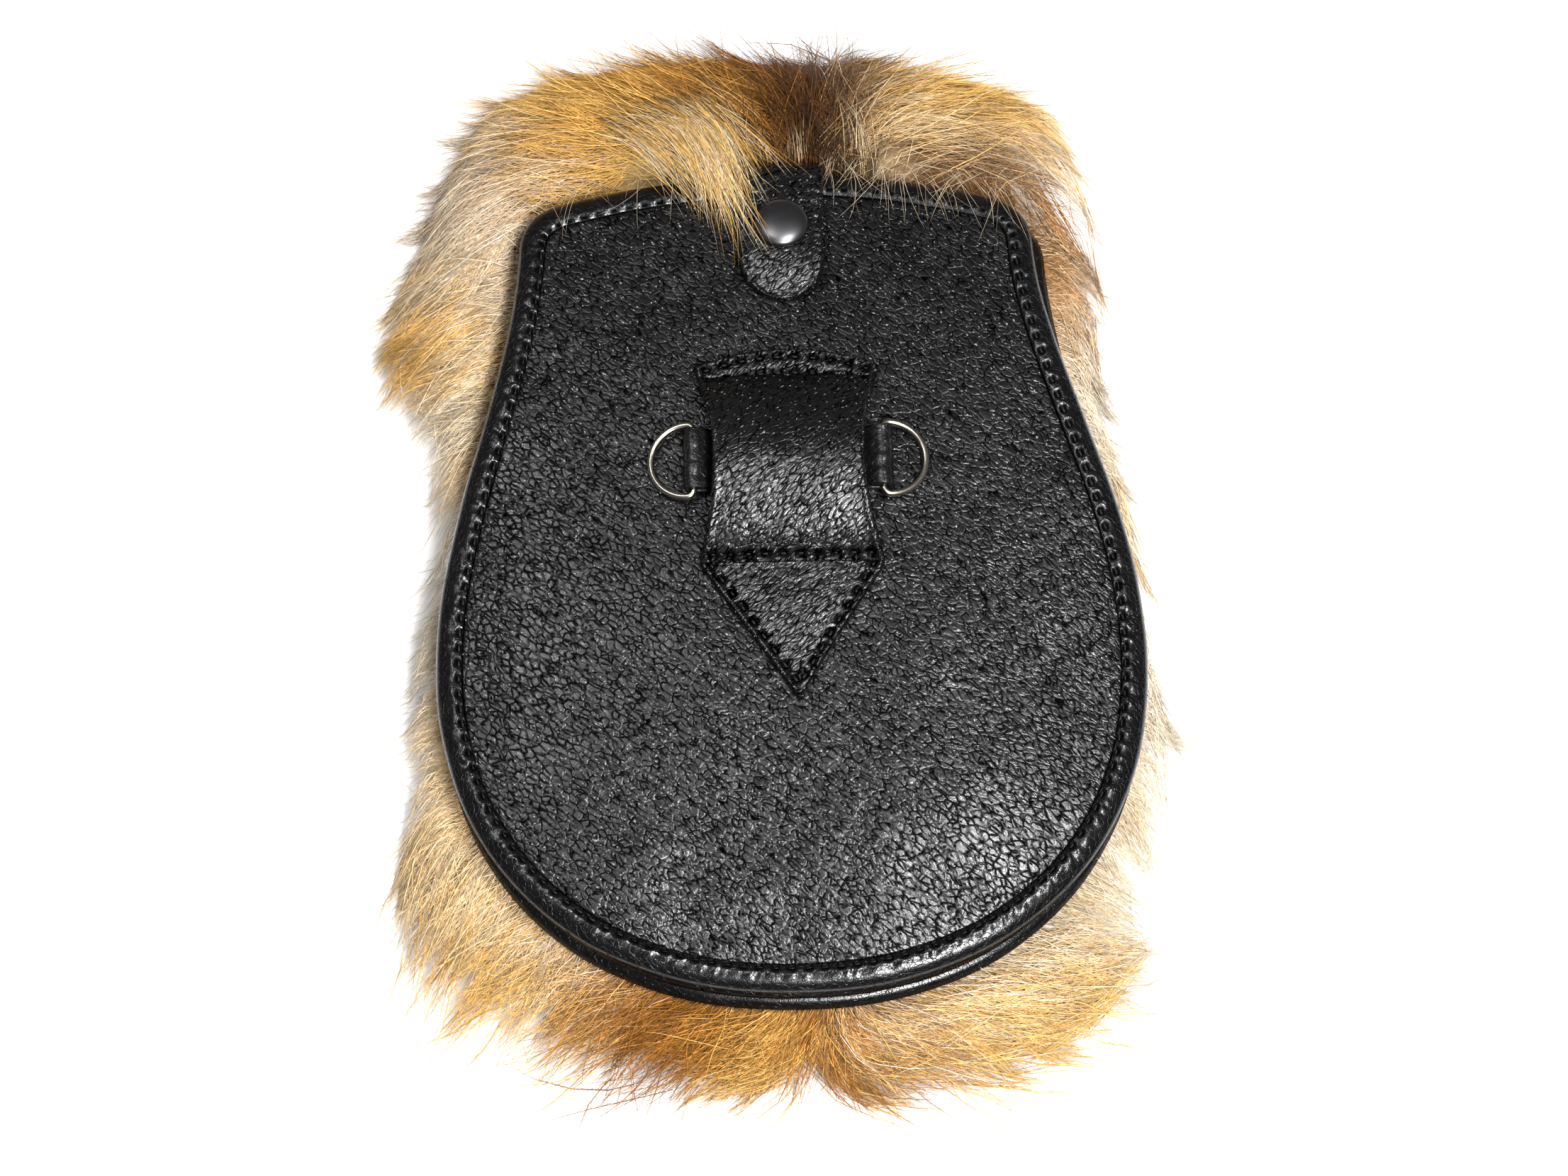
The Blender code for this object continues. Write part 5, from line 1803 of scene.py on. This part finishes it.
def metal_material(name, bright, dull, roughness, streak):
    """Plated metal: faint streaks, cloudy handling marks and a few pits, in colour, gloss and bump."""
    material, tree, shader, place = new_material(name)
    stretched = node(tree, "Mapping", {"Vector": place, "Scale": streak}).outputs[0]
    lines = noise(tree, stretched, 900.0, 3.0)
    cloud = noise(tree, place, 240.0, 4.0)
    pits = node(tree, "TexVoronoi", {"Vector": place, "Scale": 420.0}, feature="F1").outputs["Distance"]
    pits = spread_range(tree, pits, 0.05, 0.12, 1.0, 0.0)
    share = plus(tree, times(tree, cloud, 0.8), times(tree, pits, 0.4), clamp=True)
    tree.links.new(mix_colours(tree, share, (*bright, 1), (*dull, 1)), shader.inputs["Base Color"])
    shader.inputs["Metallic"].default_value = 1.0
    gloss = math_node(tree, "MULTIPLY_ADD", cloud, 0.18, roughness - 0.09)
    gloss = plus(tree, gloss, times(tree, pits, 0.2))
    tree.links.new(gloss, shader.inputs["Roughness"])
    add_bump(tree, shader, minus(tree, times(tree, lines, 0.5), pits), 0.5, 0.00003)
    return material


def hair_material(name, roughness):
    """Hair: its own tone attribute, varied along and across by fine noise."""
    material, tree, shader, place = new_material(name)
    shader.inputs["Specular IOR Level"].default_value = 0.15
    tone = node(tree, "Attribute", attribute_name="tone", attribute_type="GEOMETRY").outputs["Color"]
    fine = noise(tree, place, 700.0, 3.0)
    shade = spread_range(tree, fine, 0.3, 0.7, 0.78, 1.18)
    scaled = node(tree, "VectorMath", {0: tone, "Scale": shade}, operation="SCALE").outputs[0]
    tree.links.new(scaled, shader.inputs["Base Color"])
    gloss = spread_range(tree, fine, 0.3, 0.7, roughness - 0.08, roughness + 0.1)
    tree.links.new(gloss, shader.inputs["Roughness"])
    add_bump(tree, shader, fine, 0.5, 0.0002)
    return material


def floor_material():
    """A pale matt floor, drifting a little in tone."""
    material, tree, shader, place = new_material("studio_floor")
    drift = node(tree, "TexNoise", {"Vector": place, "Scale": 3.0}).outputs[0]
    tree.links.new(mix_colours(tree, drift, grey(0.91), grey(0.93)), shader.inputs["Base Color"])
    shader.inputs["Roughness"].default_value = 0.9
    return material


# ---- Studio ----

FLOOR_RADIUS = 0.80
FLOOR_SIDES = 96
WORLD_LIGHT = 0.16
WORLD_SEEN = 0.92
AIM = Vector((0, 0, 0.03))

# Name, place, width and depth, and watts of each lamp
LAMPS = (
    ("key", (0.26, -0.62, 1.05), (0.30, 0.26), 20.0),
    ("overhead", (0.28, -0.12, 1.15), (0.34, 0.20), 14.0),
    ("left", (-0.36, 0.22, 1.05), (0.30, 0.34), 3.9),
)


def make_floor():
    """A round floor, so that low views show a level edge."""
    mesh = bpy.data.meshes.new("studio_floor")
    turn = np.arange(FLOOR_SIDES) * 2 * math.pi / FLOOR_SIDES
    edge = np.column_stack([FLOOR_RADIUS * np.cos(turn), FLOOR_RADIUS * np.sin(turn), 0 * turn])
    mesh.from_pydata(edge.tolist(), [], [tuple(range(FLOOR_SIDES))])
    mesh.materials.append(floor_material())
    floor = bpy.data.objects.new("studio_floor", mesh)
    bpy.context.scene.collection.objects.link(floor)


def make_world():
    """A white world that is bright to the camera and gives little light."""
    world = bpy.data.worlds.new("studio")
    bpy.context.scene.world = world
    world.use_nodes = True
    tree = world.node_tree
    background = tree.nodes["Background"]
    background.inputs["Color"].default_value = grey(1.0)
    seen = node(tree, "LightPath").outputs["Is Camera Ray"]
    strength = node(tree, "MapRange", {"Value": seen, "To Min": WORLD_LIGHT, "To Max": WORLD_SEEN})
    tree.links.new(strength.outputs[0], background.inputs["Strength"])


def make_lamps():
    """Three rectangular lamps, each turned to the pouch's middle."""
    for name, place, size, energy in LAMPS:
        data = bpy.data.lights.new(name, "AREA")
        data.shape = "RECTANGLE"
        data.size, data.size_y = size
        data.energy = energy
        lamp = bpy.data.objects.new(name, data)
        lamp.location = place
        lamp.rotation_euler = (Vector(place) - AIM).to_track_quat("Z", "Y").to_euler()
        bpy.context.scene.collection.objects.link(lamp)


def make_camera():
    """The camera where the photo was taken from."""
    data = bpy.data.cameras.new("camera")
    data.lens = 70.0
    data.sensor_width = 36.0
    data.sensor_fit = "HORIZONTAL"
    camera = bpy.data.objects.new("camera", data)
    camera.location = (0.00011, -0.26463, 0.8321)
    camera.rotation_euler = (math.radians(17), 0.0, math.radians(-1.06))
    bpy.context.scene.collection.objects.link(camera)
    bpy.context.scene.camera = camera


def main():
    grain = pebbled_grain_group()
    back = leather_material(
        "back_leather", grain, cells=480.0, crease=0.20, roughness=0.26, depth=0.00015,
        dark=(0.0006, 0.0006, 0.0007), pale=(0.0032, 0.0032, 0.0037), turn=0.7, stretch=1.3, **GRAINED,
    )
    smooth = leather_material(
        "border_leather", grain, cells=640.0, crease=0.05, roughness=0.20, depth=0.00006,
        dark=(0.0008, 0.0008, 0.0009), pale=(0.0024, 0.0024, 0.0028), shine=0.36, **SMOOTH,
    )
    strap_leather = leather_material(
        "strap_leather", grain, cells=500.0, crease=0.20, roughness=0.24, depth=0.00017,
        dark=(0.0006, 0.0006, 0.0007), pale=(0.0028, 0.0030, 0.0033), turn=-0.75, stretch=1.6, shine=0.50,
        **GRAINED,
    )
    polished = leather_material(
        "polished_leather", grain, cells=520.0, crease=0.06, roughness=0.30, depth=0.00010,
        dark=(0.0008, 0.0008, 0.0009), pale=(0.0035, 0.0035, 0.0038), stretch=1.5, **SMOOTH,
    )
    thread = thread_material()
    nickel = metal_material(
        "warm_nickel", bright=(0.42, 0.38, 0.32), dull=(0.20, 0.18, 0.15), roughness=0.25,
        streak=(0.3, 1.0, 1.0),
    )
    gunmetal = metal_material(
        "gunmetal", bright=(0.115, 0.115, 0.12), dull=(0.065, 0.065, 0.07), roughness=0.34,
        streak=(0.15, 1.0, 1.0),
    )
    wool = hair_material("fur_wool", 0.80)
    hair = hair_material("fur_hair", 0.46)
    make_back_leather(back)
    make_front_leather(back)
    make_borders(smooth)
    make_border_thread(thread)
    make_gusset_leather(smooth)
    make_tab_leather(strap_leather)
    make_stud_cap(gunmetal)
    make_loop(strap_leather, thread)
    make_ring_strap(polished)
    make_rings(nickel)
    make_fur(wool, hair)
    make_floor()
    make_world()
    make_lamps()
    make_camera()
    bpy.context.scene.view_settings.view_transform = "Standard"


main()
